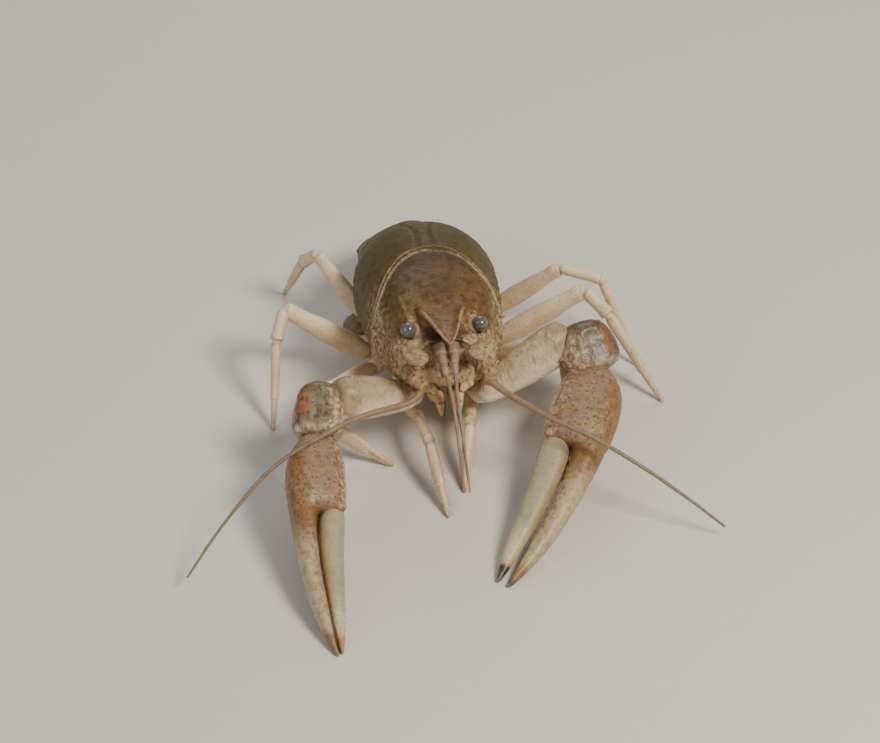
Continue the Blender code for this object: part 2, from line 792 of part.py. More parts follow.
UPPER_LEG = (
    # which joint it follows, share of the way to the next joint, half depth, half thickness
    (0, 0.0, 1.6, 1.5),
    (1, 0.0, 1.75, 1.6),
    (1, 0.5, 1.6, 1.45),
    (2, 0.0, 1.45, 1.2),
    (2, 0.25, 1.85, 1.25),
    (2, 0.55, 1.75, 1.15),
    (2, 0.85, 1.45, 1.05),
    (3, 0.0, 1.15, 0.95),
)
LOWER_LEG = (
    (3, 0.0, 1.1, 0.95),
    (3, 0.4, 1.25, 1.0),
    (3, 0.85, 1.2, 0.95),
    (4, 0.15, 1.0, 0.85),
    (4, 0.45, 0.9, 0.72),
    (4, 0.68, 0.7, 0.58),
    (4, 0.86, 0.5, 0.45),
    (5, 0.0, 0.36, 0.36),
)
PINCER_LEG = (
    (3, 0.0, 1.15, 0.95),
    (3, 0.4, 1.35, 1.05),
    (3, 0.85, 1.3, 1.0),
    (4, 0.12, 1.25, 1.0),
    (4, 0.4, 1.4, 1.0),
    (4, 0.55, 1.25, 0.9),
    (4, 0.78, 0.85, 0.65),
    (5, 0.0, 0.4, 0.36),
)
FLOOR_PLANE = (Vector((0, 0, 0)), Vector((0, 0, -1)))


def leg_stations(joints, profile, size):
    stations = []
    for joint, share, deep, thick in profile:
        following = joints[min(joint + 1, len(joints) - 1)]
        stations.append((between(joints[joint], following, share), deep * size, thick * size))
    return stations


def build_legs(shell):
    """Four pairs of walking legs, each in a thigh piece and a shin piece that meet at the knee."""
    upright = Vector((0, 0, 1))
    for name, joints in LEGS.items():
        joints = [Vector(joint) for joint in joints]
        pair = name.split("_")[1]
        size = LEG_SIZE[pair]
        thigh_end, shin_start = mitre(joints[3], joints[2], joints[4])
        stations = leg_stations(joints, UPPER_LEG, size)
        thigh = tube(f"{name}_thigh", stations, LEG_SHELL, upright, end=thigh_end)
        cut(thigh, [shell])
        profile = PINCER_LEG if pair in "23" else LOWER_LEG
        stations = leg_stations(joints, profile, size)
        across = Vector((joints[5] - joints[4]).cross(upright))
        side = across.cross(joints[5] - joints[4]).normalized()
        tube(f"{name}_shin", stations, LEG_SHELL, side, start=shin_start, end=FLOOR_PLANE)


# Tail, which curls down behind the shell and forward under itself

TAIL_START = Vector((0.0, 26.05, 16.65))
TAIL_RINGS = (
    # name, length along the back, turn of the back in degrees, half width, depth, flap length
    ("pleonite_1", 3.1, 12.0, 8.8, 8.4, 0.0),
    ("pleonite_2", 5.6, 14.0, 9.6, 7.2, 3.0),
    ("pleonite_3", 4.5, 36.0, 9.5, 5.3, 1.5),
    ("pleonite_4", 4.1, 36.0, 9.1, 4.9, 1.2),
    ("pleonite_5", 4.1, 36.0, 8.5, 4.8, 1.1),
    ("pleonite_6", 5.2, 30.0, 7.6, 4.6, 1.0),
)
TAIL_START_ANGLE = 17.0


def tail_ring(place, angle, half, depth, flap, shrink):
    """A ring across the tail: a domed back, side flaps and a flat belly between them."""
    back = Vector((0, cos(pi / 2 - angle), sin(pi / 2 - angle)))
    half, inner = half - shrink, half - shrink - 1.3
    drop = [0.0, 0.12, 0.34, 0.62, 0.9]
    wide = [0.32, 0.62, 0.86, 0.98, 1.0]
    outline = [(0.0, shrink)]
    outline += [(half * w, shrink + depth * d * 0.75) for w, d in zip(wide, drop[1:] + [1.0])]
    outline += [
        (half * 0.97, depth * 0.85 + flap * 0.6),
        (half * 0.92, depth * 0.85 + flap),
        (inner, depth * 0.85 + flap * 0.9),
        (inner * 0.93, depth * 0.9),
    ]
    ring = outline + [(0.0, depth)] + [(-x, d) for x, d in reversed(outline[1:])]
    return [place + Vector((x, 0, 0)) - back * d for x, d in ring]


def tail_frames():
    """Where each tail ring starts, its middle and its end on the back, with the back's slope."""
    place, angle = TAIL_START.copy(), radians(TAIL_START_ANGLE)
    frames = []
    for name, length, turn, half, depth, flap in TAIL_RINGS:
        steps = 4
        spots = [(place.copy(), angle)]
        for _ in range(steps):
            angle += radians(turn) / steps / 2
            place = place + Vector((0, cos(angle), -sin(angle))) * length / steps
            angle += radians(turn) / steps / 2
            spots.append((place.copy(), angle))
        frames.append((name, spots, half, depth, flap))
    return frames


def build_tail():
    frames = tail_frames()
    for i, (name, spots, half, depth, flap) in enumerate(frames):
        rings = []
        for k, (place, angle) in enumerate(spots):
            forward = Vector((0, cos(angle), -sin(angle)))
            if k == 0:
                place = place + forward * HALF_GAP
            if k == len(spots) - 1:
                place = place - forward * HALF_GAP
            hang = flap * (0.25, 0.85, 1.0, 0.75, 0.2)[k]
            shrink = (0.55, 0.3, 0.12, 0.0, 0.0)[k]
            rings.append(tail_ring(place, angle, half, depth, hang, shrink))
        loft(name, rings, TAIL_SHELL)
    return frames[-1][1][-1]


FAN_TOP = 1.25
TELSON_LENGTH = 9.2
FAN_BLADES = (
    # name, place of its root across the tail, spread in degrees, length, half width
    ("telson", 0.0, 0.0, TELSON_LENGTH, 3.3),
    ("tail_blade_inner", 3.3, 20.0, 9.6, 2.5),
    ("tail_blade_outer", 5.6, 44.0, 9.8, 2.6),
)


BLADE_OUTLINE = ((0.0, 0.62), (0.2, 0.85), (0.5, 1.0), (0.8, 0.98), (0.94, 0.75), (1.0, 0.35))
BLADE_SECTION = ((-1, 0.0), (-1, 0.55), (-0.5, 0.9), (0, 1.0), (0.5, 0.9), (1, 0.55), (1, 0.0))


def blade(name, root, direction, length, half, grow=0.0, collection=CRAYFISH):
    """A flat plate of the tail fan that lies on the floor, round at its free edge."""
    across = Vector((-direction.y, direction.x, 0))
    rings = []
    for share, wide in BLADE_OUTLINE:
        place = root + direction * ((length + 2 * grow) * share - grow)
        top = FAN_TOP * (1.0 - 0.5 * share) + 10 * grow
        ring = []
        for offset, height in BLADE_SECTION:
            spot = place + across * (half * wide + grow) * offset
            ring.append(Vector((spot.x, spot.y, top * height - 5 * grow)))
        rings.append(ring)
    return loft(name, rings, TAIL_SHELL, collection)


def build_tail_fan(tail_end):
    """The middle plate and two plates on each side, each parted from the one before it."""
    place, _ = tail_end
    for side, word in ((-1, "right"), (1, "left")):
        covers = []
        for name, offset, spread, length, half in FAN_BLADES:
            turn = radians(spread)
            direction = Vector((side * sin(turn), -cos(turn), 0))
            setback = GAP + half * BLADE_OUTLINE[0][1] * sin(turn)
            root = Vector((side * offset, place.y - setback, 0.0))
            label = name if name == "telson" else f"{name}_{word}"
            if name != "telson" or side > 0:
                made = blade(label, root, direction, length, half)
                if covers:
                    cut(made, covers)
            shape = blade(f"around_{label}", root, direction, length, half, GAP, CUTTERS)
            covers = [as_cutter(shape)]


def centre_on_floor():
    """Moves every mesh so that the origin is under the middle of the animal's outer box."""
    corners = [vertex.co for obj in CRAYFISH.objects for vertex in obj.data.vertices]
    middle = [(min(co[k] for co in corners) + max(co[k] for co in corners)) / 2 for k in range(2)]
    for obj in list(CRAYFISH.objects) + list(CUTTERS.objects):
        for vertex in obj.data.vertices:
            vertex.co.x -= middle[0]
            vertex.co.y -= middle[1]


def main():
    head, _ = build_shields()
    shell = body_cutter()
    build_sternum()
    build_eyes(head)
    build_antennules(shell)
    build_antennae(shell)
    build_scales(shell)
    build_foot_jaws(shell)
    build_claws(shell)
    build_legs(shell)
    build_tail_fan(build_tail())
    centre_on_floor()


main()
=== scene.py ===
"""A life-size museum model of a crayfish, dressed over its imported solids.

Places are written in millimetres and in two frames. The stance frame has the floor at z = 0, the
animal looking along -Y and its own left side at +X. The body frame is the shell's own, level and
with the mouth near z = 0; it is tipped nose up and lifted to give the stance frame. A piece's
mesh is in metres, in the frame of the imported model.
"""

import logging
from dataclasses import dataclass, field
from enum import Enum
from math import cos, pi, radians, sin
from typing import Callable, Sequence

import bpy
import numpy as np
from mathutils import Matrix, Vector, noise


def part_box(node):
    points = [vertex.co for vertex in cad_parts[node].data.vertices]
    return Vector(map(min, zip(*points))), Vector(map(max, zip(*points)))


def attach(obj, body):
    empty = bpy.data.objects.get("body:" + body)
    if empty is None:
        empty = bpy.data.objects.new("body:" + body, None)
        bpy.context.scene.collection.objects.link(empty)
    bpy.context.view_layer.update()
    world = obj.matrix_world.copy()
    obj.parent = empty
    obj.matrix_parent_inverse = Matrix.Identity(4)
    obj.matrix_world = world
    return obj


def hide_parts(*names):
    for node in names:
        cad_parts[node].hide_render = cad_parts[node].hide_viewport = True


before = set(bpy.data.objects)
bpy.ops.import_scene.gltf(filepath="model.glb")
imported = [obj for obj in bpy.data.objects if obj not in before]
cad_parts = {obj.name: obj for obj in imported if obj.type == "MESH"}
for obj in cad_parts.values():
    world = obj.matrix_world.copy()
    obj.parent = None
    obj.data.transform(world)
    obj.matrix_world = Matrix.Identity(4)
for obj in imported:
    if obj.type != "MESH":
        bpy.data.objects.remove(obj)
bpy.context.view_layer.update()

logging.basicConfig(level=logging.INFO, format="%(message)s")
LOG = logging.getLogger("crayfish")

MM = 0.001
BODY_PITCH = radians(15.0)
BODY_LIFT = 8.5
UPRIGHT = Vector((0.0, 0.0, 1.0))
SIDEWAYS = Vector((1.0, 0.0, 0.0))

Colour = tuple[float, float, float]
Stations = Sequence[tuple[float, ...]]
Ring = list[Vector]
Mask = Callable[[np.ndarray], np.ndarray]


class Side(Enum):
    """The animal's own two sides, with the sign of their X."""

    RIGHT = -1
    LEFT = 1

    @property
    def word(self) -> str:
        """The side's name as the nodes spell it."""
        return self.name.lower()

    @property
    def flip(self) -> Vector:
        """Turns a place of the left side into one of this side."""
        return Vector((self.value, 1, 1))


# Curves and places


def signed_power(value: float, power: float) -> float:
    """A power that keeps the sign.

    Args:
        value: The number.
        power: The power its size is raised to.

    Returns:
        The raised number, with the sign of value.
    """
    return (1 if value >= 0 else -1) * abs(value) ** power


def blend(stations: Stations, at: float) -> list[float]:
    """Values between stations, along a smooth curve that passes through each of them.

    Args:
        stations: Rows whose first number is the place and whose others are the values there.
        at: The place that is asked for.

    Returns:
        The values at that place.
    """
    places = [station[0] for station in stations]
    at = min(max(at, places[0]), places[-1])
    index = min(max(i for i, place in enumerate(places) if place <= at), len(stations) - 2)
    before, first = stations[max(index - 1, 0)], stations[index]
    second, after = stations[index + 1], stations[min(index + 2, len(stations) - 1)]
    span = second[0] - first[0]
    t = (at - first[0]) / span
    values = []
    for k in range(1, len(first)):
        rise_in = (second[k] - before[k]) / (second[0] - before[0]) * span
        rise_out = (after[k] - first[k]) / (after[0] - first[0]) * span
        values.append(
            (2 * t**3 - 3 * t**2 + 1) * first[k]
            + (t**3 - 2 * t**2 + t) * rise_in
            + (3 * t**2 - 2 * t**3) * second[k]
            + (t**3 - t**2) * rise_out
        )
    return values


def curve_through(points: Sequence[Vector], steps: int, closed: bool = False) -> list[Vector]:
    """Places along a smooth curve through the points.

    Args:
        points: The places that the curve passes through.
        steps: How many steps it takes between each pair.
        closed: Whether the curve runs back to its start.

    Returns:
        The places, with the last point at the end of an open curve.
    """
    count = len(points)
    places = []
    for i in range(count if closed else count - 1):
        if closed:
            p0, p1, p2, p3 = (points[(i + k) % count] for k in (-1, 0, 1, 2))
        else:
            p0, p1, p2 = points[max(i - 1, 0)], points[i], points[i + 1]
            p3 = points[min(i + 2, count - 1)]
        for k in range(steps):
            t = k / steps
            bent = 2 * p1 + (p2 - p0) * t + (2 * p0 - 5 * p1 + 4 * p2 - p3) * t**2
            places.append(0.5 * (bent + (3 * p1 - p0 - 3 * p2 + p3) * t**3))
    if not closed:
        places.append(points[-1].copy())
    return places


def circle(middle: Vector, across: Vector, deep: Vector, size: float, count: int) -> Ring:
    """A round ring between two directions."""
    turns = [2 * pi * k / count for k in range(count)]
    return [middle + (across * cos(turn) + deep * sin(turn)) * size for turn in turns]


def body_to_stance(point: Sequence[float]) -> Vector:
    """Tips a place in the body frame nose up and lifts it above the floor.

    Args:
        point: A place in the body frame.

    Returns:
        The same place in the stance frame.
    """
    x, y, z = point
    tip = -BODY_PITCH
    return Vector((x, y * cos(tip) - z * sin(tip), y * sin(tip) + z * cos(tip) + BODY_LIFT))


def in_body_frame(places: np.ndarray) -> np.ndarray:
    """The body frame's numbers for many places.

    Args:
        places: Rows of x, y and z in the stance frame.

    Returns:
        Rows of x, y and z in the body frame.
    """
    tip = BODY_PITCH
    y, z = places[:, 1], places[:, 2] - BODY_LIFT
    return np.stack([places[:, 0], y * cos(tip) - z * sin(tip), y * sin(tip) + z * cos(tip)], 1)


def hill(values: np.ndarray, width: float) -> np.ndarray:
    """A soft hill that is 1 where the values are 0 and falls away over the width."""
    return np.exp(-((values / width) ** 2))


def rise(values: np.ndarray, low: float, high: float) -> np.ndarray:
    """A soft step from 0 at low to 1 at high, or the other way where low is the larger."""
    t = np.clip((values - low) / (high - low), 0.0, 1.0)
    return t * t * (3 - 2 * t)


def rise_of(value: float, low: float, high: float) -> float:
    """A soft step from 0 at low to 1 at high for one number."""
    t = min(max((value - low) / (high - low), 0.0), 1.0)
    return t * t * (3 - 2 * t)


@dataclass
class ShellForm:
    """The shape of the whole shell in the body frame, before it is parted at the neck groove."""

    rear_y: float = 22.5
    face_y: float = -16.8
    half_width: float = 12.3
    height: float = 18.75
    waist: float = 0.42
    roundness: float = 2.25
    floor_roundness: float = 2.9
    groove_front_y: float = -4.5
    groove_sweep: float = 9.2
    groove_bend_z: float = 5.0
    groove_power: float = 3.5
    stations: Stations = (
        # place along the body, share of the half width, share of the height, lower edge
        (-16.8, 0.44, 0.585, 2.6),
        (-15.0, 0.60, 0.665, 1.4),
        (-12.0, 0.74, 0.775, 0.5),
        (-8.0, 0.845, 0.872, 0.0),
        (-3.0, 0.920, 0.948, 0.0),
        (2.0, 0.968, 0.987, 0.0),
        (7.0, 0.996, 1.0, 0.0),
        (12.0, 1.0, 0.988, 0.0),
        (16.0, 0.955, 0.957, 0.0),
        (20.0, 0.865, 0.900, 0.3),
        (22.5, 0.785, 0.838, 0.8),
    )

    def place(self, y: float, turn: float, grow: float = 0.0) -> Vector:
        """A place on the shell.

        Args:
            y: The station along the body.
            turn: The angle round the shell, which starts under the belly.
            grow: How far outside the shell the place lies.

        Returns:
            The place in the body frame.
        """
        width, height, low = blend(self.stations, y)
        half_width = self.half_width * width + grow
        top = self.height * height + grow
        low -= grow
        waist = low + (top - low) * self.waist
        across, up = sin(turn), -cos(turn)
        roundness = self.roundness if up > 0 else self.floor_roundness
        x = half_width * signed_power(across, 2 / roundness)
        climb = top - waist if up > 0 else waist - low
        return Vector((x, y, waist + climb * signed_power(up, 2 / roundness)))

    def on_top(self, x: float, y: float, grow: float = 0.0) -> Vector:
        """A place on the shell's upper half, in the body frame.

        Args:
            x: The distance from the middle.
            y: The station along the body.
            grow: How far above the shell the place lies.

        Returns:
            The place in the body frame.
        """
        width, height, low = blend(self.stations, y)
        share = min(abs(x) / (self.half_width * width), 1.0)
        top = self.height * height
        waist = low + (top - low) * self.waist
        climb = (1 - share**self.roundness) ** (1 / self.roundness)
        return Vector((x, y, waist + (top - waist) * climb + grow))

    def groove_y(self, z: float) -> float:
        """How far back the neck groove lies at a height on the shell."""
        climb = max(z - self.groove_bend_z, 0.0) / (self.height - self.groove_bend_z)
        return self.groove_front_y + self.groove_sweep * climb**self.groove_power

    def behind_groove(self, places: np.ndarray) -> np.ndarray:
        """How far behind the neck groove each place in the body frame lies."""
        climb = np.clip(places[:, 2] - self.groove_bend_z, 0.0, None)
        climb = climb / (self.height - self.groove_bend_z)
        return places[:, 1] - self.groove_front_y - self.groove_sweep * climb**self.groove_power

    def rings(self, sides: int, count: int, start: Callable, end: Callable) -> list[Ring]:
        """Rings of the shell between two edges that may follow the groove.

        Args:
            sides: Places in a ring.
            count: How many rings there are.
            start: Gives the first edge's y at a height.
            end: Gives the last edge's y at a height.

        Returns:
            The rings, in the body frame.
        """
        rings = []
        for step in range(count):
            share = step / (count - 1)
            ring = []
            for i in range(sides):
                turn = 2 * pi * i / sides
                y = 0.0
                for _ in range(5):
                    z = self.place(y, turn).z
                    y = start(z) + (end(z) - start(z)) * share
                ring.append(self.place(y, turn))
            rings.append(ring)
        return rings


SHELL = ShellForm()


def frame_shift() -> Vector:
    """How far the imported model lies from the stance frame, read from its shell and breast plate.

    Returns:
        The shift in millimetres.
    """
    low, high = (Vector(corner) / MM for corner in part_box("sternum"))
    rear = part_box("carapace_thorax")[1][1] / MM
    ring = [body_to_stance(SHELL.place(SHELL.rear_y, pi * k / 16)).y for k in range(32)]
    return Vector(((low.x + high.x) / 2, rear - max(ring), 0.0))


SHIFT = frame_shift()


def in_frame(point: Vector) -> Vector:
    """A place of the stance frame in metres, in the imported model's frame."""
    return (point + SHIFT) * MM


# Modelling steps


def deselect_all() -> None:
    """Leaves nothing selected, so that an operator acts only on what is picked next."""
    bpy.ops.object.select_all(action="DESELECT")


def pick(pieces: Sequence[bpy.types.Object]) -> None:
    """Selects the pieces and makes the first of them active."""
    deselect_all()
    for piece in pieces:
        piece.select_set(True)
    bpy.context.view_layer.objects.active = pieces[0]


def ring_body(name: str, rings: Sequence[Ring]) -> bpy.types.Object:
    """A closed body: a circle extruded from ring to ring, shaped at each, and filled at its ends.

    Args:
        name: The piece's name.
        rings: Rings of equal count in the stance frame.

    Returns:
        The new object.
    """
    deselect_all()
    bpy.ops.mesh.primitive_circle_add(vertices=len(rings[0]), radius=MM, fill_type="NOTHING")
    made = bpy.context.object
    bpy.ops.object.mode_set(mode="EDIT")
    bpy.ops.mesh.select_all(action="SELECT")
    for _ in rings[1:]:
        bpy.ops.mesh.extrude_region_move(TRANSFORM_OT_translate={"value": (0.0, 0.0, MM)})
    bpy.ops.object.mode_set(mode="OBJECT")
    flat = [number for ring in rings for place in ring for number in in_frame(place)]
    made.data.vertices.foreach_set("co", flat)
    made.data.update()
    bpy.ops.object.mode_set(mode="EDIT")
    bpy.ops.mesh.select_all(action="SELECT")
    bpy.ops.mesh.fill_holes(sides=0)
    bpy.ops.mesh.normals_make_consistent(inside=False)
    bpy.ops.object.mode_set(mode="OBJECT")
    made.name = made.data.name = name
    return made


def joined(name: str, pieces: Sequence[bpy.types.Object]) -> bpy.types.Object:
    """Makes one object of several.

    Args:
        name: The new object's name.
        pieces: The objects, which become part of the first.

    Returns:
        The first object, now holding them all.
    """
    pick(pieces)
    if len(pieces) > 1:
        bpy.ops.object.join()
    made = bpy.context.view_layer.objects.active
    made.name = made.data.name = name
    return made


def modified(piece: bpy.types.Object, kind: str, **settings: object) -> None:
    """Adds a modifier, sets it and applies it.

    Args:
        piece: The object that takes it.
        kind: The modifier's type.
        settings: Its settings by name.
    """
    pick([piece])
    step = piece.modifiers.new(kind.lower(), kind)
    for key, value in settings.items():
        setattr(step, key, value)
    bpy.ops.object.modifier_apply(modifier=step.name)


def one_skin(piece: bpy.types.Object, grain: float, rounds: int = 3) -> None:
    """Turns overlapping bodies into one closed skin with soft inner corners.

    Args:
        piece: The object that holds the bodies.
        grain: The skin's fineness in millimetres.
        rounds: How often it is smoothed.
    """
    modified(piece, "REMESH", mode="VOXEL", voxel_size=grain * MM)
    modified(piece, "SMOOTH", factor=0.5, iterations=rounds)


def carved(piece: bpy.types.Object, cutter: bpy.types.Object) -> None:
    """Cuts one closed body out of another and removes the cutter."""
    modified(piece, "BOOLEAN", operation="DIFFERENCE", solver="EXACT", object=cutter)
    bpy.data.objects.remove(cutter, do_unlink=True)


def places_of(piece: bpy.types.Object) -> np.ndarray:
    """The places of a mesh in the stance frame, as rows of x, y and z in millimetres."""
    flat = np.empty(len(piece.data.vertices) * 3)
    piece.data.vertices.foreach_get("co", flat)
    return flat.reshape(-1, 3) / MM - np.array(SHIFT)


def move_to(piece: bpy.types.Object, places: np.ndarray) -> None:
    """Sets the places of a mesh from rows in the stance frame."""
    piece.data.vertices.foreach_set("co", ((places + np.array(SHIFT)) * MM).ravel())
    piece.data.update()


def raised(piece: bpy.types.Object, height: Mask) -> None:
    """Moves each place of a mesh out along its normal.

    Args:
        piece: The object.
        height: Gives the distance in millimetres for rows of places.
    """
    places = places_of(piece)
    normals = np.empty(len(places) * 3)
    piece.data.vertices.foreach_get("normal", normals)
    move_to(piece, places + normals.reshape(-1, 3) * height(places)[:, None])


def on_floor(piece: bpy.types.Object) -> None:
    """Flattens whatever of a piece would reach below the floor."""
    places = places_of(piece)
    places[:, 2] = np.maximum(places[:, 2], 0.0)
    move_to(piece, places)


def granules(places: np.ndarray, spacing: float, size: float) -> np.ndarray:
    """Rounded grains scattered through space.

    Args:
        places: Rows of places.
        spacing: The usual distance between grains in millimetres.
        size: A grain's radius as a share of the spacing.

    Returns:
        The height of the grain at each place, from 0 to 1.
    """
    heights = np.zeros(len(places))
    for i, place in enumerate(places / spacing):
        near = noise.voronoi(place)[0][0] / size
        if near < 1.0:
            heights[i] = (1.0 - near * near) ** 0.5
    return heights


def unevenness(places: np.ndarray, spacing: float) -> np.ndarray:
    """Slow unevenness between -1 and 1 over a spacing in millimetres."""
    return np.array([noise.noise(Vector(place)) for place in places / spacing])


def hollows(piece: bpy.types.Object, rounds: int = 2) -> np.ndarray:
    """How hollow a mesh is at each place, for painted shade in its low spots.

    Args:
        piece: The object.
        rounds: How often the values are evened out among neighbours.

    Returns:
        About 0.5 on flat places, more in hollows and less on ridges.
    """
    mesh = piece.data
    count = len(mesh.vertices)
    ends = np.empty(len(mesh.edges) * 2, np.int64)
    mesh.edges.foreach_get("vertices", ends)
    first, second = ends.reshape(-1, 2).T
    places = places_of(piece)
    normals = np.empty(count * 3)
    mesh.vertices.foreach_get("normal", normals)
    normals = normals.reshape(-1, 3)
    each = np.maximum(np.bincount(first, minlength=count) + np.bincount(second, minlength=count), 1)

    def mean_of(values: np.ndarray) -> np.ndarray:
        """The mean of each place's neighbours."""
        total = np.bincount(first, values[second], count) + np.bincount(second, values[first], count)
        return total / each

    middle = np.stack([mean_of(places[:, k]) for k in range(3)], 1)
    reach = mean_of_lengths(places, first, second, count) / each
    bent = ((middle - places) * normals).sum(1) / np.maximum(reach, 1e-6)
    for _ in range(rounds):
        bent = (bent + mean_of(bent)) / 2
    return np.clip(0.5 + bent * 2.2, 0.0, 1.0)


def mean_of_lengths(places: np.ndarray, first: np.ndarray, second: np.ndarray, count: int) -> np.ndarray:
    """The summed length of the edges that meet at each place.

    Args:
        places: Rows of places.
        first: One end of each edge.
        second: The other end of each edge.
        count: How many places there are.

    Returns:
        The sums, one for each place.
    """
    length = np.linalg.norm(places[first] - places[second], axis=1)
    return np.bincount(first, length, count) + np.bincount(second, length, count)


def painted(piece: bpy.types.Object, **masks: np.ndarray | float) -> None:
    """Stores masks on a mesh for its finish to read, with the hollows among them.

    Args:
        piece: The object.
        masks: Values from 0 to 1, one for each place or one for all. Those called along and across
            are millimetres instead, and lay out the dots.
    """
    places = places_of(piece)
    values = {"along": places[:, 1] - 0.6 * places[:, 2], "across": places[:, 0] + 0.35 * places[:, 2]}
    values |= {"hollow": hollows(piece)} | masks
    for name, found in values.items():
        if name not in ("along", "across"):
            found = np.clip(found, 0.0, 1.0)
        layer = piece.data.attributes.new(name, "FLOAT", "POINT")
        layer.data.foreach_set("value", np.broadcast_to(found, len(places)).astype(np.float32))


def scattered(name: str, template: bpy.types.Object, spots: Sequence[Matrix]) -> bpy.types.Object:
    """Copies a small body to many spots and makes one object of the copies.

    Args:
        name: The new object's name.
        template: The small body, about one millimetre in size, which is removed.
        spots: Where each copy goes, in millimetres in the stance frame.

    Returns:
        The new object.
    """
    corners = [vertex.co / MM for vertex in template.data.vertices]
    faces = [tuple(face.vertices) for face in template.data.polygons]
    places, made_faces = [], []
    for spot in spots:
        base = len(places)
        places += [in_frame(spot @ corner) for corner in corners]
        made_faces += [tuple(base + i for i in face) for face in faces]
    mesh = bpy.data.meshes.new(name)
    mesh.from_pydata(places, [], made_faces)
    made = bpy.data.objects.new(name, mesh)
    bpy.context.scene.collection.objects.link(made)
    bpy.data.objects.remove(template, do_unlink=True)
    return made


def spot(place: Vector, along: Vector, width: float, length: float, flat: float = 1.0) -> Matrix:
    """Where and how a small body stands.

    Args:
        place: Its foot in the stance frame.
        along: The direction it points in.
        width: Its half width.
        length: Its length along the direction.
        flat: Its thickness as a share of its width.

    Returns:
        The matrix for one copy.
    """
    turned = along.to_track_quat("Z", "Y").to_matrix().to_4x4()
    scaled = Matrix.Diagonal((width, width * flat, length, 1.0))
    return Matrix.Translation(place) @ turned @ scaled


def body_spot(place: Vector, aim: Vector, width: float, length: float) -> Matrix:
    """Where a small body stands whose foot and direction are given in the body frame."""
    foot = body_to_stance(place)
    return spot(foot, body_to_stance(place + aim) - foot, width, length)


def thorn_template() -> bpy.types.Object:
    """A pointed body one millimetre long and wide, with its foot at the origin."""
    deselect_all()
    bpy.ops.mesh.primitive_cone_add(
        vertices=12, radius1=MM, radius2=MM * 0.5, depth=MM * 0.45, location=(0, 0, MM * 0.225)
    )
    bpy.ops.object.transform_apply(location=True)
    made = bpy.context.object
    bpy.ops.object.mode_set(mode="EDIT")
    bpy.ops.mesh.select_all(action="DESELECT")
    bpy.ops.object.mode_set(mode="OBJECT")
    for face in made.data.polygons:
        face.select = face.normal.z > 0.9
    bpy.ops.object.mode_set(mode="EDIT")
    for lift, size in ((0.33, 0.55), (0.17, 0.4)):
        bpy.ops.mesh.extrude_region_move(TRANSFORM_OT_translate={"value": (0, 0, MM * lift)})
        bpy.ops.transform.resize(value=(size, size, 1.0))
    bpy.ops.object.mode_set(mode="OBJECT")
    return made


def knob_template() -> bpy.types.Object:
    """A ball of one millimetre radius."""
    deselect_all()
    bpy.ops.mesh.primitive_ico_sphere_add(subdivisions=3, radius=MM)
    return bpy.context.object


def bristle_template() -> bpy.types.Object:
    """A thin hair one millimetre long, bent a little, with its foot at the origin."""
    deselect_all()
    bpy.ops.mesh.primitive_cone_add(
        vertices=4, radius1=MM, radius2=MM * 0.55, depth=MM * 0.5, location=(0, 0, MM * 0.25)
    )
    bpy.ops.object.transform_apply(location=True)
    made = bpy.context.object
    for face in made.data.polygons:
        face.select = face.normal.z > 0.9
    bpy.ops.object.mode_set(mode="EDIT")
    bpy.ops.mesh.extrude_region_move(TRANSFORM_OT_translate={"value": (MM * 0.9, 0, MM * 0.5)})
    bpy.ops.transform.resize(value=(0.2, 0.2, 1.0))
    bpy.ops.object.mode_set(mode="OBJECT")
    return made


@dataclass
class Segment:
    """One shell segment of a limb, which runs from joint to joint."""

    start: Vector
    end: Vector
    profile: Stations
    side: Vector = field(default_factory=lambda: UPRIGHT.copy())
    sides: int = 28
    steps: int = 30
    bow: Vector = field(default_factory=lambda: Vector((0.0, 0.0, 0.0)))
    squareness: float = 1.0
    twist: Callable[[float, float], float] | None = None

    def rings(self) -> list[Ring]:
        """Rings along the segment, closed by rounded ends.

        Returns:
            The rings in the stance frame. The profile's rows hold a share of the length, the half
            width along the side direction and the half depth across it.
        """
        axis = self.end - self.start
        along = axis.normalized()
        across = (self.side - along * self.side.dot(along)).normalized()
        deep = along.cross(across)
        first, last = self.profile[0][0], self.profile[-1][0]
        shares = [first + (last - first) * (1 - cos(pi * k / self.steps)) / 2 for k in range(self.steps + 1)]
        rings = []
        for at in shares:
            wide, thick = blend(self.profile, at)
            middle = self.start + axis * at + self.bow * sin(pi * min(max(at, 0.0), 1.0))
            ring = []
            for k in range(self.sides):
                turn = 2 * pi * (k + 0.5) / self.sides
                swell = self.twist(at, turn) if self.twist else 1.0
                x = wide * swell * signed_power(cos(turn), self.squareness)
                y = thick * swell * signed_power(sin(turn), self.squareness)
                ring.append(middle + across * x + deep * y)
            rings.append(ring)
        return rings

    def build(self, name: str) -> bpy.types.Object:
        """Makes the segment's body."""
        return ring_body(name, self.rings())


def whip_rings(places: Sequence[Vector], thick: float, thin: float, ringed: float) -> list[Ring]:
    """Rings of a feeler's whip, swollen a little at each of its many short segments.

    Args:
        places: The whip's line, finely stepped.
        thick: Its radius at the root.
        thin: Its radius at the tip.
        ringed: How many places make one segment.

    Returns:
        The rings in the stance frame.
    """
    rings = []
    last = len(places) - 1
    for i, place in enumerate(places):
        along = (places[min(i + 1, last)] - places[max(i - 1, 0)]).normalized()
        across = (SIDEWAYS - along * SIDEWAYS.dot(along)).normalized()
        deep = along.cross(across)
        radius = thick + (thin - thick) * (i / last) ** 0.8
        radius *= 1.0 + 0.13 * (0.5 - abs((i / ringed) % 1.0 - 0.5)) * 2
        if i in (0, last):
            radius *= 0.4
        ring = []
        for k in range(10):
            turn = 2 * pi * k / 10
            ring.append(place + across * radius * cos(turn) + deep * radius * sin(turn))
        rings.append(ring)
    return rings


# Finishes


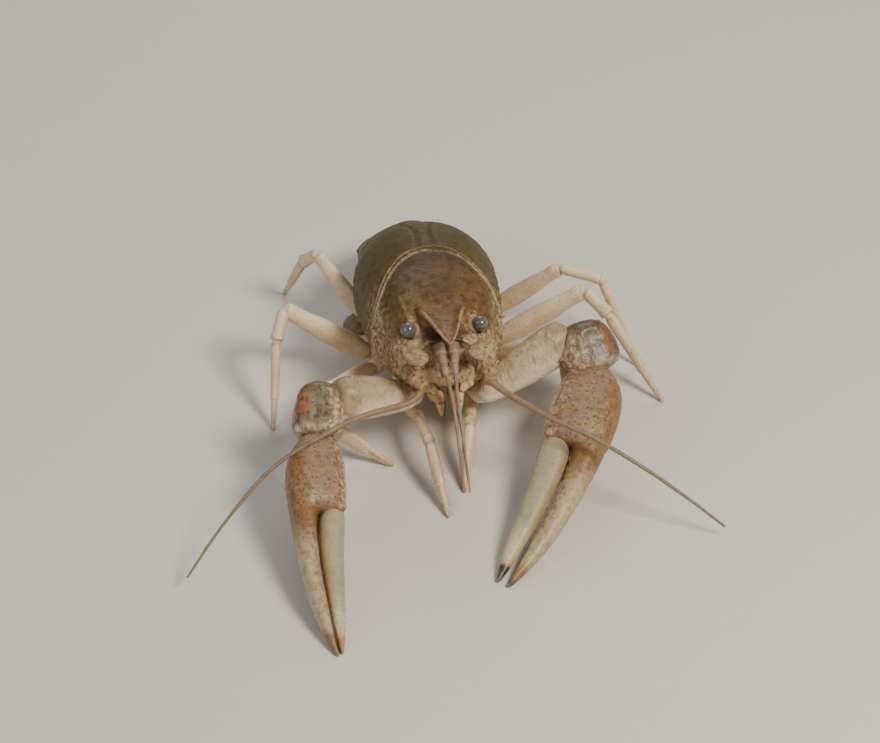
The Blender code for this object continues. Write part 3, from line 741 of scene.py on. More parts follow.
def new_group(name: str, inputs: dict[str, object], output: str) -> bpy.types.NodeTree:
    """A shader node group with named inputs and one output.

    Args:
        name: The group's name.
        inputs: Each input's default. One called Vector takes a vector.
        output: The output's name.

    Returns:
        The group, with its input and output nodes in place.
    """
    group = bpy.data.node_groups.new(name, "ShaderNodeTree")
    for label, value in inputs.items():
        kind = "NodeSocketVector" if label == "Vector" else "NodeSocketFloat"
        socket = group.interface.new_socket(name=label, in_out="INPUT", socket_type=kind)
        if label != "Vector":
            socket.default_value = value
    group.interface.new_socket(name=output, in_out="OUTPUT", socket_type="NodeSocketFloat")
    group.nodes.new("NodeGroupInput")
    group.nodes.new("NodeGroupOutput")
    return group


class Wiring:
    """Adds nodes to a tree and joins them."""

    def __init__(self, tree: bpy.types.NodeTree) -> None:
        """Takes the tree that the nodes go into."""
        self.tree = tree

    def add(self, kind: str, **settings: object) -> bpy.types.Node:
        """Adds a node and sets its properties.

        Args:
            kind: The node's type.
            settings: Its properties by name.

        Returns:
            The node.
        """
        node = self.tree.nodes.new(kind)
        for key, value in settings.items():
            setattr(node, key, value)
        return node

    def put(self, value: object, socket: bpy.types.NodeSocket) -> None:
        """Gives an input a number or joins it to an output."""
        if isinstance(value, bpy.types.NodeSocket):
            self.tree.links.new(value, socket)
        else:
            socket.default_value = value

    def maths(self, operation: str, *values: object) -> bpy.types.NodeSocket:
        """A sum of numbers and outputs, held between 0 and 1 where the operation says CLAMP.

        Args:
            operation: The Math node's operation, with _CLAMP after it to clamp.
            values: Its inputs.

        Returns:
            The output.
        """
        node = self.add("ShaderNodeMath", operation=operation.removesuffix("_CLAMP"))
        node.use_clamp = operation.endswith("_CLAMP")
        for value, socket in zip(values, node.inputs):
            self.put(value, socket)
        return node.outputs[0]

    def mix(self, share: object, first: object, second: object) -> bpy.types.NodeSocket:
        """A colour between two.

        Args:
            share: How much of the second there is.
            first: A colour or an output.
            second: A colour or an output.

        Returns:
            The mixed colour's output.
        """
        node = self.add("ShaderNodeMix", data_type="RGBA")
        self.put(share, node.inputs["Factor"])
        for value, name in ((first, "A"), (second, "B")):
            socket = next(s for s in node.inputs if s.name == name and s.type == "RGBA")
            self.put(value if isinstance(value, bpy.types.NodeSocket) else (*value, 1.0), socket)
        return next(s for s in node.outputs if s.type == "RGBA")

    def group(self, tree: bpy.types.NodeTree, **values: object) -> bpy.types.NodeSocket:
        """Places a node group and sets its inputs.

        Args:
            tree: The group.
            values: Its inputs by name.

        Returns:
            Its output.
        """
        node = self.add("ShaderNodeGroup", node_tree=tree)
        for key, value in values.items():
            self.put(value, node.inputs[key])
        return node.outputs[0]

    def mask(self, name: str) -> bpy.types.NodeSocket:
        """The value that a mesh stores under a name."""
        return self.add("ShaderNodeAttribute", attribute_name=name).outputs["Fac"]

    def millimetres(self) -> bpy.types.NodeSocket:
        """The Object coordinates in millimetres."""
        sized = self.add("ShaderNodeMapping")
        sized.inputs["Scale"].default_value = (1 / MM, 1 / MM, 1 / MM)
        self.put(self.add("ShaderNodeTexCoord").outputs["Object"], sized.inputs["Vector"])
        return sized.outputs["Vector"]

    def bump(self, height: bpy.types.NodeSocket, distance: float, strength: float) -> bpy.types.NodeSocket:
        """The normals of a surface with a height in millimetres on it."""
        node = self.add("ShaderNodeBump")
        node.inputs["Distance"].default_value = distance * MM
        node.inputs["Strength"].default_value = strength
        self.put(height, node.inputs["Height"])
        return node.outputs["Normal"]


def new_material(name: str, **constants: float) -> tuple[bpy.types.Material, Wiring, bpy.types.Node]:
    """A material with its shader's constants set.

    Args:
        name: The material's name.
        constants: The shader's inputs, with _ for each space.

    Returns:
        The material, the wiring of its tree and its shader.
    """
    made = bpy.data.materials.new(name)
    made.use_nodes = True
    shader = made.node_tree.nodes["Principled BSDF"]
    for key, value in constants.items():
        shader.inputs[key.replace("_", " ")].default_value = value
    return made, Wiring(made.node_tree), shader


def mottle_group() -> bpy.types.NodeTree:
    """Cloudy patches from noise, with soft or hard edges."""
    group = new_group("mottle", {"Vector": None, "Scale": 0.3, "Contrast": 2.5, "Level": 0.5}, "Mask")
    wire = Wiring(group)
    given = group.nodes["Group Input"].outputs
    cloud = wire.add("ShaderNodeTexNoise")
    cloud.inputs["Detail"].default_value = 5.0
    cloud.inputs["Roughness"].default_value = 0.6
    wire.put(given["Vector"], cloud.inputs["Vector"])
    wire.put(given["Scale"], cloud.inputs["Scale"])
    off = wire.maths("SUBTRACT", cloud.outputs["Fac"], given["Level"])
    mask = wire.maths("MULTIPLY_ADD_CLAMP", off, given["Contrast"], 0.5)
    wire.put(mask, group.nodes["Group Output"].inputs["Mask"])
    return group


def dots_group() -> bpy.types.NodeTree:
    """Small round dots in loose rows over a flat pattern, with some cells left empty."""
    inputs = {"Vector": None, "Scale": 1.0, "Size": 0.25, "Share": 0.7, "Looseness": 0.6}
    group = new_group("dots", inputs, "Mask")
    wire = Wiring(group)
    given = group.nodes["Group Input"].outputs
    cells = wire.add("ShaderNodeTexVoronoi", feature="F1", voronoi_dimensions="2D")
    wire.put(given["Looseness"], cells.inputs["Randomness"])
    wire.put(given["Vector"], cells.inputs["Vector"])
    wire.put(given["Scale"], cells.inputs["Scale"])
    inside = wire.maths("SUBTRACT", given["Size"], cells.outputs["Distance"])
    round_dot = wire.maths("MULTIPLY_CLAMP", inside, 9.0)
    split = wire.add("ShaderNodeSeparateColor")
    wire.put(cells.outputs["Color"], split.inputs["Color"])
    kept = wire.maths("LESS_THAN", split.outputs["Red"], given["Share"])
    wire.put(wire.maths("MULTIPLY", round_dot, kept), group.nodes["Group Output"].inputs["Mask"])
    return group


def grain_group() -> bpy.types.NodeTree:
    """The height of fine grains and of the slow unevenness under them."""
    group = new_group("grain", {"Vector": None, "Scale": 3.0}, "Height")
    wire = Wiring(group)
    given = group.nodes["Group Input"].outputs
    cells = wire.add("ShaderNodeTexVoronoi", feature="SMOOTH_F1")
    cells.inputs["Smoothness"].default_value = 0.4
    wire.put(given["Vector"], cells.inputs["Vector"])
    wire.put(given["Scale"], cells.inputs["Scale"])
    cloud = wire.add("ShaderNodeTexNoise")
    wire.put(given["Vector"], cloud.inputs["Vector"])
    wire.put(wire.maths("MULTIPLY", given["Scale"], 0.3), cloud.inputs["Scale"])
    height = wire.maths("SUBTRACT", cloud.outputs["Fac"], cells.outputs["Distance"])
    wire.put(height, group.nodes["Group Output"].inputs["Height"])
    return group


@dataclass
class Effects:
    """The node groups that the finishes share."""

    mottle: bpy.types.NodeTree = field(default_factory=mottle_group)
    dots: bpy.types.NodeTree = field(default_factory=dots_group)
    grain: bpy.types.NodeTree = field(default_factory=grain_group)


@dataclass(frozen=True)
class ShellFinish:
    """A shell's colours and surface. Lengths are in millimetres and colours are linear."""

    name: str
    base: Colour
    second: Colour
    pale: Colour
    warm: Colour
    cool: Colour
    dark: Colour
    dot: Colour
    green: Colour = (0.24, 0.22, 0.07)
    patch: float = 3.5
    patch_contrast: float = 3.0
    dot_spacing: float = 1.1
    dot_size: float = 0.24
    dot_share: float = 0.7
    dot_strength: float = 0.7
    dot_looseness: float = 0.6
    blotch: float = 1.4
    blotch_level: float = 0.57
    blotch_strength: float = 0.5
    freckle: float = 0.8
    wear: float = 0.45
    speck: float = 0.35
    grain: float = 0.35
    grain_depth: float = 0.03
    roughness: float = 0.46
    specular: float = 0.5
    coat: float = 0.08
    coat_roughness: float = 0.25

    def build(self, effects: Effects) -> bpy.types.Material:
        """Makes the material.

        Args:
            effects: The shared node groups.

        Returns:
            The material. It reads the masks pale, warm, green, cool, dark, freckled, dotted and
            hollow, and the distances along and across by which the dots are laid out.
        """
        surface = {"Specular_IOR_Level": self.specular, "Coat_Weight": self.coat}
        surface["Coat_Roughness"] = self.coat_roughness
        made, wire, shader = new_material(self.name, **surface)
        here = wire.millimetres()
        broad = wire.group(effects.mottle, Vector=here, Scale=1 / self.patch, Contrast=self.patch_contrast)
        fine = wire.group(effects.mottle, Vector=here, Scale=1 / self.speck, Contrast=1.6)
        flat = wire.add("ShaderNodeCombineXYZ")
        wire.put(wire.mask("along"), flat.inputs["X"])
        wire.put(wire.mask("across"), flat.inputs["Y"])
        dots = wire.group(
            effects.dots, Vector=flat.outputs["Vector"], Scale=1 / self.dot_spacing, Size=self.dot_size,
            Share=self.dot_share, Looseness=self.dot_looseness
        )
        blotches = wire.group(
            effects.mottle, Vector=here, Scale=1 / self.blotch, Contrast=7.0, Level=self.blotch_level
        )
        colour = wire.mix(broad, self.base, self.second)
        for name, scale in (("cool", 0.8), ("green", 1.2), ("warm", 0.9), ("pale", 1.5)):
            stored = wire.mask(name)
            cloud = wire.group(effects.mottle, Vector=here, Scale=scale, Contrast=2.0)
            ragged = wire.maths("SUBTRACT", cloud, 0.5)
            edge = wire.maths("MULTIPLY", stored, wire.maths("SUBTRACT", 1.0, stored))
            share = wire.maths("MULTIPLY_ADD_CLAMP", wire.maths("MULTIPLY", edge, 3.0), ragged, stored)
            colour = wire.mix(share, colour, getattr(self, name))
        shade = wire.maths("MULTIPLY", wire.maths("MULTIPLY", dots, wire.mask("dotted")), self.dot_strength)
        colour = wire.mix(wire.maths("MULTIPLY", blotches, self.blotch_strength), colour, self.dark)
        freckles = wire.group(effects.mottle, Vector=here, Scale=1 / self.freckle, Contrast=8.0, Level=0.54)
        colour = wire.mix(wire.maths("MULTIPLY", freckles, wire.mask("freckled")), colour, self.pale)
        colour = wire.mix(shade, colour, self.dot)
        colour = wire.mix(wire.mask("dark"), colour, self.dark)
        # painted shade: the hollows darken towards the dark colour; the ridges are paled as wear
        hollow = wire.mask("hollow")
        low = wire.maths("MULTIPLY_CLAMP", wire.maths("SUBTRACT", hollow, 0.56), 2.4)
        high = wire.maths("MULTIPLY_CLAMP", wire.maths("SUBTRACT", 0.44, hollow), 1.6)
        colour = wire.mix(wire.maths("MULTIPLY", low, 0.65), colour, self.dark)
        colour = wire.mix(wire.maths("MULTIPLY", high, self.wear), colour, self.pale)
        flecked = wire.add("ShaderNodeHueSaturation")
        wire.put(wire.maths("MULTIPLY_ADD", fine, 0.36, 0.82), flecked.inputs["Value"])
        wire.put(colour, flecked.inputs["Color"])
        wire.put(flecked.outputs["Color"], shader.inputs["Base Color"])
        rough = wire.maths("MULTIPLY_ADD", fine, 0.18, self.roughness - 0.09)
        wire.put(wire.maths("MULTIPLY_ADD", low, 0.2, rough), shader.inputs["Roughness"])
        height = wire.group(effects.grain, Vector=here, Scale=1 / self.grain)
        height = wire.maths("SUBTRACT", height, wire.maths("MULTIPLY", shade, 0.6))
        wire.put(wire.bump(height, self.grain_depth * 2, 0.8), shader.inputs["Normal"])
        return made


@dataclass(frozen=True)
class EyeFinish:
    """A faceted glossy eye on its matt stalk. The mask pale is 1 on the stalk."""

    name: str = "eye"
    glassy: Colour = (0.045, 0.046, 0.060)
    glint: Colour = (0.215, 0.195, 0.215)
    stalk: Colour = (0.42, 0.285, 0.17)
    facet: float = 0.13

    def build(self, effects: Effects) -> bpy.types.Material:
        """Makes the material.

        Args:
            effects: The shared node groups.

        Returns:
            The material.
        """
        made, wire, shader = new_material(self.name, Coat_Weight=0.6, Coat_Roughness=0.06)
        here = wire.millimetres()
        cloud = wire.group(effects.mottle, Vector=here, Scale=0.9, Contrast=1.8)
        colour = wire.mix(wire.maths("MULTIPLY", cloud, 0.8), self.glassy, self.glint)
        stalk = wire.mask("pale")
        colour = wire.mix(stalk, colour, self.stalk)
        wire.put(colour, shader.inputs["Base Color"])
        wire.put(wire.maths("MULTIPLY_ADD", stalk, 0.35, 0.09), shader.inputs["Roughness"])
        cells = wire.add("ShaderNodeTexVoronoi", feature="F1")
        cells.inputs["Scale"].default_value = 1 / self.facet
        wire.put(here, cells.inputs["Vector"])
        height = wire.maths("SUBTRACT", 1.0, cells.outputs["Distance"])
        wire.put(wire.bump(height, 0.012, 0.5), shader.inputs["Normal"])
        return made


HEAD_FINISH = ShellFinish(
    name="head_shell", base=(0.132, 0.064, 0.018), second=(0.078, 0.042, 0.013), pale=(0.62, 0.44, 0.25),
    warm=(0.33, 0.155, 0.055), cool=(0.125, 0.084, 0.062), dark=(0.022, 0.012, 0.006),
    dot=(0.075, 0.027, 0.013), green=(0.19, 0.15, 0.058), patch=2.6, dot_spacing=0.8, dot_size=0.28,
    dot_share=0.5, dot_looseness=0.95, dot_strength=0.7, blotch=1.2, blotch_level=0.565,
    blotch_strength=0.5, wear=0.3, roughness=0.56, specular=0.3, coat=0.03
)
THORAX_FINISH = ShellFinish(
    name="thorax_shell", base=(0.125, 0.069, 0.016), second=(0.072, 0.042, 0.011), pale=(0.56, 0.42, 0.23),
    warm=(0.25, 0.125, 0.040), cool=(0.092, 0.062, 0.017), dark=(0.020, 0.013, 0.006),
    dot=(0.034, 0.021, 0.010), green=(0.125, 0.1, 0.032), patch=3.2, dot_spacing=0.85, dot_size=0.25,
    dot_share=0.55, dot_looseness=0.9, dot_strength=0.55, blotch=1.5, blotch_strength=0.45, roughness=0.56,
    specular=0.3, coat=0.03
)
TAIL_FINISH = ShellFinish(
    name="tail_shell", base=(0.150, 0.086, 0.028), second=(0.088, 0.054, 0.018), pale=(0.48, 0.36, 0.20),
    warm=(0.26, 0.125, 0.042), cool=(0.110, 0.088, 0.036), dark=(0.024, 0.016, 0.008),
    dot=(0.040, 0.025, 0.012), patch=2.6, dot_looseness=0.9, roughness=0.54, specular=0.3, coat=0.03
)
UNDERSIDE_FINISH = ShellFinish(
    name="underside", base=(0.58, 0.43, 0.28), second=(0.48, 0.33, 0.20), pale=(0.70, 0.58, 0.42),
    warm=(0.46, 0.25, 0.11), cool=(0.48, 0.44, 0.32), dark=(0.16, 0.10, 0.05), dot=(0.33, 0.21, 0.12),
    roughness=0.5, coat=0.06, blotch_strength=0.1
)
LEG_FINISH = ShellFinish(
    name="leg_shell", base=(0.82, 0.6, 0.36), second=(0.68, 0.46, 0.275), pale=(0.9, 0.745, 0.51),
    warm=(0.52, 0.265, 0.090), cool=(0.56, 0.48, 0.31), dark=(0.14, 0.078, 0.036), dot=(0.42, 0.25, 0.15),
    patch=2.6, patch_contrast=2.6, dot_spacing=0.75, dot_size=0.22, dot_share=0.45, dot_looseness=0.9,
    dot_strength=0.35, blotch=2.2, blotch_level=0.62, blotch_strength=0.13, coat=0.12
)
ARM_FINISH = ShellFinish(
    name="arm_shell", base=(0.68, 0.51, 0.31), second=(0.50, 0.355, 0.215), pale=(0.86, 0.72, 0.53),
    warm=(0.44, 0.205, 0.055), cool=(0.36, 0.27, 0.165), dark=(0.085, 0.046, 0.022),
    dot=(0.24, 0.125, 0.062), green=(0.34, 0.33, 0.16), patch=2.6, dot_spacing=1.0, dot_size=0.26,
    dot_looseness=0.9, dot_strength=0.55, blotch=1.5, blotch_level=0.60, blotch_strength=0.28, coat=0.12
)
PALM_FINISH = ShellFinish(
    name="palm_shell", base=(0.325, 0.18, 0.078), second=(0.26, 0.155, 0.118), pale=(0.70, 0.57, 0.39),
    warm=(0.245, 0.115, 0.032), cool=(0.45, 0.335, 0.175), dark=(0.034, 0.020, 0.013),
    dot=(0.105, 0.045, 0.042), green=(0.34, 0.28, 0.10), patch=2.0, patch_contrast=3.4, dot_spacing=1.05,
    dot_size=0.225, dot_share=0.72, dot_looseness=0.8, dot_strength=0.8, blotch=1.1, blotch_level=0.56,
    blotch_strength=0.3, coat=0.1
)
WRIST_FINISH = ShellFinish(
    name="wrist_shell", base=(0.21, 0.137, 0.068), second=(0.135, 0.082, 0.042), pale=(0.62, 0.46, 0.29),
    warm=(0.37, 0.115, 0.03), cool=(0.2, 0.18, 0.125), dark=(0.045, 0.028, 0.018),
    dot=(0.075, 0.042, 0.030), green=(0.26, 0.235, 0.115), patch=1.7, patch_contrast=4.0, dot_spacing=1.1,
    dot_size=0.26, dot_looseness=0.8, dot_strength=0.8, blotch=1.0, blotch_level=0.53, blotch_strength=0.55,
    coat=0.15, wear=0.3
)
FINGER_FINISH = ShellFinish(
    name="finger_shell", base=(0.5, 0.39, 0.235), second=(0.41, 0.30, 0.165), pale=(0.76, 0.63, 0.44),
    warm=(0.42, 0.165, 0.032), cool=(0.355, 0.328, 0.215), dark=(0.030, 0.018, 0.012),
    dot=(0.20, 0.13, 0.07), green=(0.44, 0.40, 0.16), patch=3.2, dot_spacing=1.1, dot_looseness=0.5,
    dot_strength=0.4, blotch=2.0, blotch_level=0.60, blotch_strength=0.16, coat=0.15
)
FEELER_FINISH = ShellFinish(
    name="feeler", base=(0.200, 0.120, 0.050), second=(0.140, 0.088, 0.040), pale=(0.42, 0.275, 0.185),
    warm=(0.42, 0.190, 0.062), cool=(0.22, 0.185, 0.115), dark=(0.050, 0.032, 0.016),
    dot=(0.10, 0.06, 0.03), patch=1.6, coat=0.05
)
BRISTLE_FINISH = ShellFinish(
    name="bristles", base=(0.25, 0.150, 0.062), second=(0.18, 0.105, 0.044), pale=(0.40, 0.29, 0.16),
    warm=(0.30, 0.165, 0.065), cool=(0.24, 0.19, 0.11), dark=(0.08, 0.05, 0.03), dot=(0.14, 0.09, 0.05),
    coat=0.0, roughness=0.55
)


class Wardrobe:
    """Every finish of the animal, each built once."""

    def __init__(self) -> None:
        """Builds the shared effects and the materials."""
        effects = Effects()
        finishes = (
            HEAD_FINISH, THORAX_FINISH, TAIL_FINISH, UNDERSIDE_FINISH, LEG_FINISH, ARM_FINISH, PALM_FINISH,
            WRIST_FINISH, FINGER_FINISH, FEELER_FINISH, BRISTLE_FINISH, EyeFinish()
        )
        self.materials = {finish.name: finish.build(effects) for finish in finishes}

    def dress(self, piece: bpy.types.Object, slot: str, nodes: Sequence[str], finish: str = "") -> None:
        """Gives a piece its finish, parents it to the root and hides the solids that it stands for.

        Args:
            piece: The object.
            slot: The name of the finish, unless finish is given.
            nodes: The solids that it replaces.
            finish: The finish's name, where it isn't the slot's.
        """
        piece.data.materials.clear()
        piece.data.materials.append(self.materials[finish or slot])
        piece.data.shade_smooth()
        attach(piece, "root")
        if nodes:
            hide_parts(*nodes)
        LOG.info("%s: %d faces", piece.name, len(piece.data.polygons))


# Head shield and thorax shield


@dataclass
class Shields:
    """The two shields of the shell, parted at the neck groove, with the beak between the eyes."""

    wardrobe: Wardrobe
    eye_place: Vector = field(default_factory=lambda: Vector((6.05, -14.3, 12.25)))
    eye_radius: float = 1.3
    stalk_root: Vector = field(default_factory=lambda: Vector((3.2, -12.3, 10.4)))
    beak: Stations = (
        # place forward along the body, half width, top, thickness
        (5.0, 1.6, 16.9, 2.6), (7.5, 3.8, 16.4, 2.8), (10.0, 4.6, 15.55, 2.8), (12.0, 4.25, 14.95, 2.4),
        (14.5, 3.4, 14.5, 1.9), (18.0, 2.35, 14.1, 1.6), (21.0, 1.45, 13.75, 1.3), (22.4, 0.65, 13.35, 0.9),
        (23.0, 0.12, 13.05, 0.35),
    )
    beak_rim: float = 0.5
    ridge: tuple = ((6.6, -5.0), (6.3, -8.0), (5.8, -11.0), (5.3, -13.1))

    def beak_body(self) -> bpy.types.Object:
        """The beak, hollowed along its top between raised rims."""
        first, last = self.beak[0][0], self.beak[-1][0]
        rings = []
        for step in range(61):
            at = first + (last - first) * step / 60
            half, top, thick = blend(self.beak, at)
            free = rise_of(at, 8.5, 14.0)
            rim = top + self.beak_rim * min(half / 1.8, 1.0) * rise_of(at, 9.5, 13.5)
            outline = (
                (0.0, top - 0.1 * free), (0.45, top), (0.72, top + (rim - top) * 0.55), (0.88, rim),
                (1.0, rim - thick * 0.22), (0.9, rim - thick * 0.6), (0.5, top - thick * 0.9),
                (0.0, top - thick)
            )
            right = []
            for k, (x, z) in enumerate(outline):
                root = SHELL.on_top(x * half, -at, -0.02 if k < 4 else z - rim - 0.1).z
                right.append(Vector((x * half, root + (z - root) * free, 0.0)))
            left = [Vector((-place.x, place.y, 0.0)) for place in reversed(right[1:-1])]
            loop = curve_through(right + left, 3, closed=True)
            rings.append([body_to_stance((p.x, -at, p.y)) for p in loop])
        return ring_body("beak", rings)

    def head_body(self) -> bpy.types.Object:
        """The head shield ahead of the groove, with its open front hollowed in."""
        rings = SHELL.rings(96, 46, lambda z: SHELL.face_y, lambda z: SHELL.groove_y(z) - 0.02)
        front = []
        for back, size in ((1.3, 0.02), (1.3, 0.4), (1.2, 0.68), (0.9, 0.84), (0.25, 0.95)):
            middle = Vector((0.0, SHELL.face_y + back, 6.8))
            ring = [Vector((p.x * size, middle.y, 6.8 + (p.z - 6.8) * size)) for p in rings[0]]
            front.append(ring)
        rings = front + rings
        return ring_body("head", [[body_to_stance(place) for place in ring] for ring in rings])

    def ridge_bodies(self) -> list[bpy.types.Object]:
        """The low ridge behind each eye, which rises towards a point over the socket."""
        made = []
        for side in Side:
            places = []
            for k, (x, y) in enumerate(self.ridge):
                sink = (-0.52, -0.42, -0.36, -0.22)[k]
                places.append(body_to_stance(SHELL.on_top(x * side.value, y, sink)))
            places = curve_through(places, 8)
            last = len(places) - 1
            rings = []
            for k, place in enumerate(places):
                along = (places[min(k + 1, last)] - places[max(k - 1, 0)]).normalized()
                across = along.cross(UPRIGHT).normalized()
                deep = across.cross(along)
                size = 0.54 * (1.0 - (2 * k / last - 1) ** 4) + 0.06
                rings.append(circle(place, across, deep, size, 16))
            made.append(ring_body("ridge", rings))
        return made

    def face_bodies(self) -> list[bpy.types.Object]:
        """The plate between the feelers and the mouth, with the knobs beside it."""
        wide = (
            (-1.0, 0.3, 0.3), (-0.9, 1.2, 0.9), (-0.5, 2.0, 1.5), (0.0, 2.35, 1.8), (0.5, 2.0, 1.5),
            (0.9, 1.2, 0.9), (1.0, 0.3, 0.3)
        )
        middle = body_to_stance((0.0, -15.7, 4.3))
        made = [Segment(middle, middle + SIDEWAYS * 4.9, wide, sides=24, steps=24).build("face_plate")]
        point = ((0.0, 1.1, 0.9), (0.5, 0.85, 0.7), (0.9, 0.4, 0.35), (1.0, 0.15, 0.12))
        made.append(
            Segment(body_to_stance((0, -16.2, 5.6)), body_to_stance((0, -18.3, 6.7)), point).build("point")
        )
        knob = ((-1.0, 0.2, 0.2), (-0.8, 0.6, 0.6), (0.0, 1.0, 1.0), (0.8, 0.6, 0.6), (1.0, 0.2, 0.2))
        for side in Side:
            for place, size in (((3.7, -16.5, 2.6), 0.85), ((5.6, -16.2, 7.2), 1.0)):
                middle = body_to_stance(Vector(place) * side.flip)
                rows = [(at, a * size, b * size) for at, a, b in knob]
                made.append(Segment(middle, middle + SIDEWAYS * size, rows, sides=16, steps=16).build("knob"))
        return made

    def head_spines(self) -> bpy.types.Object:
        """Spines beside the neck groove, behind the eye and at the edge under it."""
        spots = []
        for side in Side:
            for place, aim, width, length in (
                ((5.3, -12.7, 13.85), (0.1, -1.0, 0.1), 0.42, 1.25),
                ((6.9, -16.1, 9.2), (0.3, -1.0, 0.15), 0.5, 1.1),
                ((11.15, -5.3, 9.0), (0.9, -0.7, 0.3), 0.45, 1.0),
                ((11.1, -5.2, 6.9), (0.95, -0.6, 0.1), 0.35, 0.75)
            ):
                spots.append(body_spot(Vector(place) * side.flip, Vector(aim) * side.flip, width, length))
        return scattered("spines", thorn_template(), spots)

    def socket_body(self, side: Side) -> bpy.types.Object:
        """The hollow that holds an eye."""
        centre = body_to_stance(self.eye_place * side.flip)
        root = body_to_stance(self.stalk_root * side.flip)
        out = (centre - root).normalized()
        wide = self.eye_radius + 0.5
        profile = (
            (-1.0, 1.2, 1.2), (-0.3, 1.35, 1.35), (0.0, wide, wide), (0.5, wide, wide), (1.0, wide, wide)
        )
        return Segment(centre, centre + out * 4.0, profile, sides=24).build("socket")

    def head_relief(self, places: np.ndarray) -> np.ndarray:
        """The head shield's small forms as heights in millimetres.

        Args:
            places: Rows of places in the stance frame.

        Returns:
            The heights.
        """
        body = in_body_frame(places)
        ahead = -SHELL.behind_groove(body)
        low = rise(body[:, 2], 13.5, 8.5)
        near = hill(ahead, 3.5)
        side = rise(np.abs(body[:, 0]), 4.0, 7.5)
        grains = granules(body, 0.95, 0.42) * (0.03 + 0.17 * low * side + 0.12 * near * side)
        beak = rise(-body[:, 1], 12.5, 14.5) * rise(body[:, 2], 12.0, 13.0)
        edge = -0.45 * hill(ahead, 0.3) + 0.1 * hill(ahead - 0.7, 0.25)
        dents = -0.1 * hill(np.abs(body[:, 0]) - 4.4, 1.1) * hill(body[:, 1] + 4.5, 2.6)
        slow = 0.07 * unevenness(body, 2.2) + 0.03 * unevenness(body, 0.8)
        return grains * (1 - beak) * rise(ahead, 0.9, 1.5) + edge + dents + slow - 0.1

    def thorax_relief(self, places: np.ndarray) -> np.ndarray:
        """The thorax shield's small forms as heights in millimetres.

        Args:
            places: Rows of places in the stance frame.

        Returns:
            The heights.
        """
        body = in_body_frame(places)
        x, y, z = np.abs(body[:, 0]), body[:, 1], body[:, 2]
        behind = SHELL.behind_groove(body)
        from_rear = SHELL.rear_y - y
        outer = rise(x + z, 6.0, 9.0)
        low = rise(z, 15.5, 9.0)
        grains = granules(body, 0.9, 0.42) * (0.035 + 0.13 * low + 0.12 * hill(behind, 3.0) * low)
        grains *= rise(behind, 0.2, 0.9) * rise(from_rear, 0.4, 1.2) * outer
        narrow = 1.15 + 2.3 * ((y - 10.0) / 11.0) ** 2
        seams = -0.24 * hill(x - narrow, 0.4) * rise(z, 12.0, 14.0)
        seams *= rise(behind, 0.4, 2.0) * rise(from_rear, 2.0, 3.5)
        lip = -0.4 * rise(behind, 0.5, 0.15) - 0.35 * rise(behind, 0.1, -0.4)
        rims = lip - 0.4 * hill(from_rear, 0.35) - 0.24 * hill(from_rear - 1.8, 0.4)
        lower = -0.2 * hill(z - 2.1, 0.4) * rise(x, 6.0, 8.0)
        slow = 0.06 * unevenness(body, 2.6) + 0.025 * unevenness(body, 0.8)
        return grains + seams + rims + lower + slow - 0.1

    def build(self) -> None:
        """Makes the two shields."""
        pieces = [
            self.head_body(), self.beak_body(), *self.ridge_bodies(), *self.face_bodies(),
            self.head_spines()
        ]
        self.head = joined("head_shield", pieces)
        one_skin(self.head, 0.2, 2)
        for side in Side:
            carved(self.head, self.socket_body(side))
        raised(self.head, self.head_relief)
        edges = SHELL.rings(112, 76, lambda z: SHELL.groove_y(z) - 0.55, lambda z: SHELL.rear_y)
        caps = []
        for ring, sizes in ((edges[0], (0.05, 0.5, 0.85)), (edges[-1], (0.9, 0.5, 0.05))):
            middle = sum(ring, Vector()) / len(ring)
            caps.append([[middle.lerp(place, size) for place in ring] for size in sizes])
        rings = caps[0] + edges + caps[1]
        self.thorax = ring_body("thorax_shield", [[body_to_stance(p) for p in ring] for ring in rings])
        modified(self.thorax, "SUBSURF", levels=1, render_levels=1)
        raised(self.thorax, self.thorax_relief)

    def rim_distance(self, body: np.ndarray) -> np.ndarray:
        """How far each place in the body frame is from the beak's rims, seen from above."""
        along = np.linspace(self.beak[0][0], self.beak[-1][0], 60)
        halves = np.array([blend(self.beak, at)[0] for at in along])
        return np.abs(np.abs(body[:, 0]) - np.interp(-body[:, 1], along, halves) * 0.9)

    def dress(self) -> None:
        """Paints the shields."""
        self.dress_head()
        self.dress_thorax()

    def dress_head(self) -> None:
        """Paints the head shield: a mottled crown, cream lines, a pale beaded face and warm cheeks."""
        body = in_body_frame(places_of(self.head))
        x, y, z = body.T
        wide, ahead = np.abs(x), -y
        behind = SHELL.behind_groove(body)
        to_rim = self.rim_distance(body)
        face = rise(ahead, 11.5, 14.5) * rise(z, 11.4, 10.0)

        def around(place: Sequence[float], width: float) -> np.ndarray:
            """A soft round patch on both sides of the body."""
            return hill(np.linalg.norm(np.stack([wide, y, z], 1) - np.array(place), axis=1), width)

        # the cream groove line, beak rims and spots behind the eyes
        rims = hill(to_rim, 0.3) * rise(ahead, 12.5, 15.0) * rise(z, 12.2, 13.0)
        pale = 0.95 * hill(behind + 0.6, 0.42) * rise(z, 2.0, 6.0) + 0.45 * rims
        pale += around((5.3, -12.9, 13.6), 0.8) + 0.9 * around((4.6, -14.6, 12.0), 0.9)
        pale += rise(z, 1.6, 0.6) + 0.5 * face + 0.3 * face * rise(z, 6.0, 4.0) * rise(wide, 0.5, 2.5)
        pale += 0.35 * rise(x, 4.0, 7.0) * rise(z, 9.0, 6.5) * rise(ahead, 8.0, 12.0)
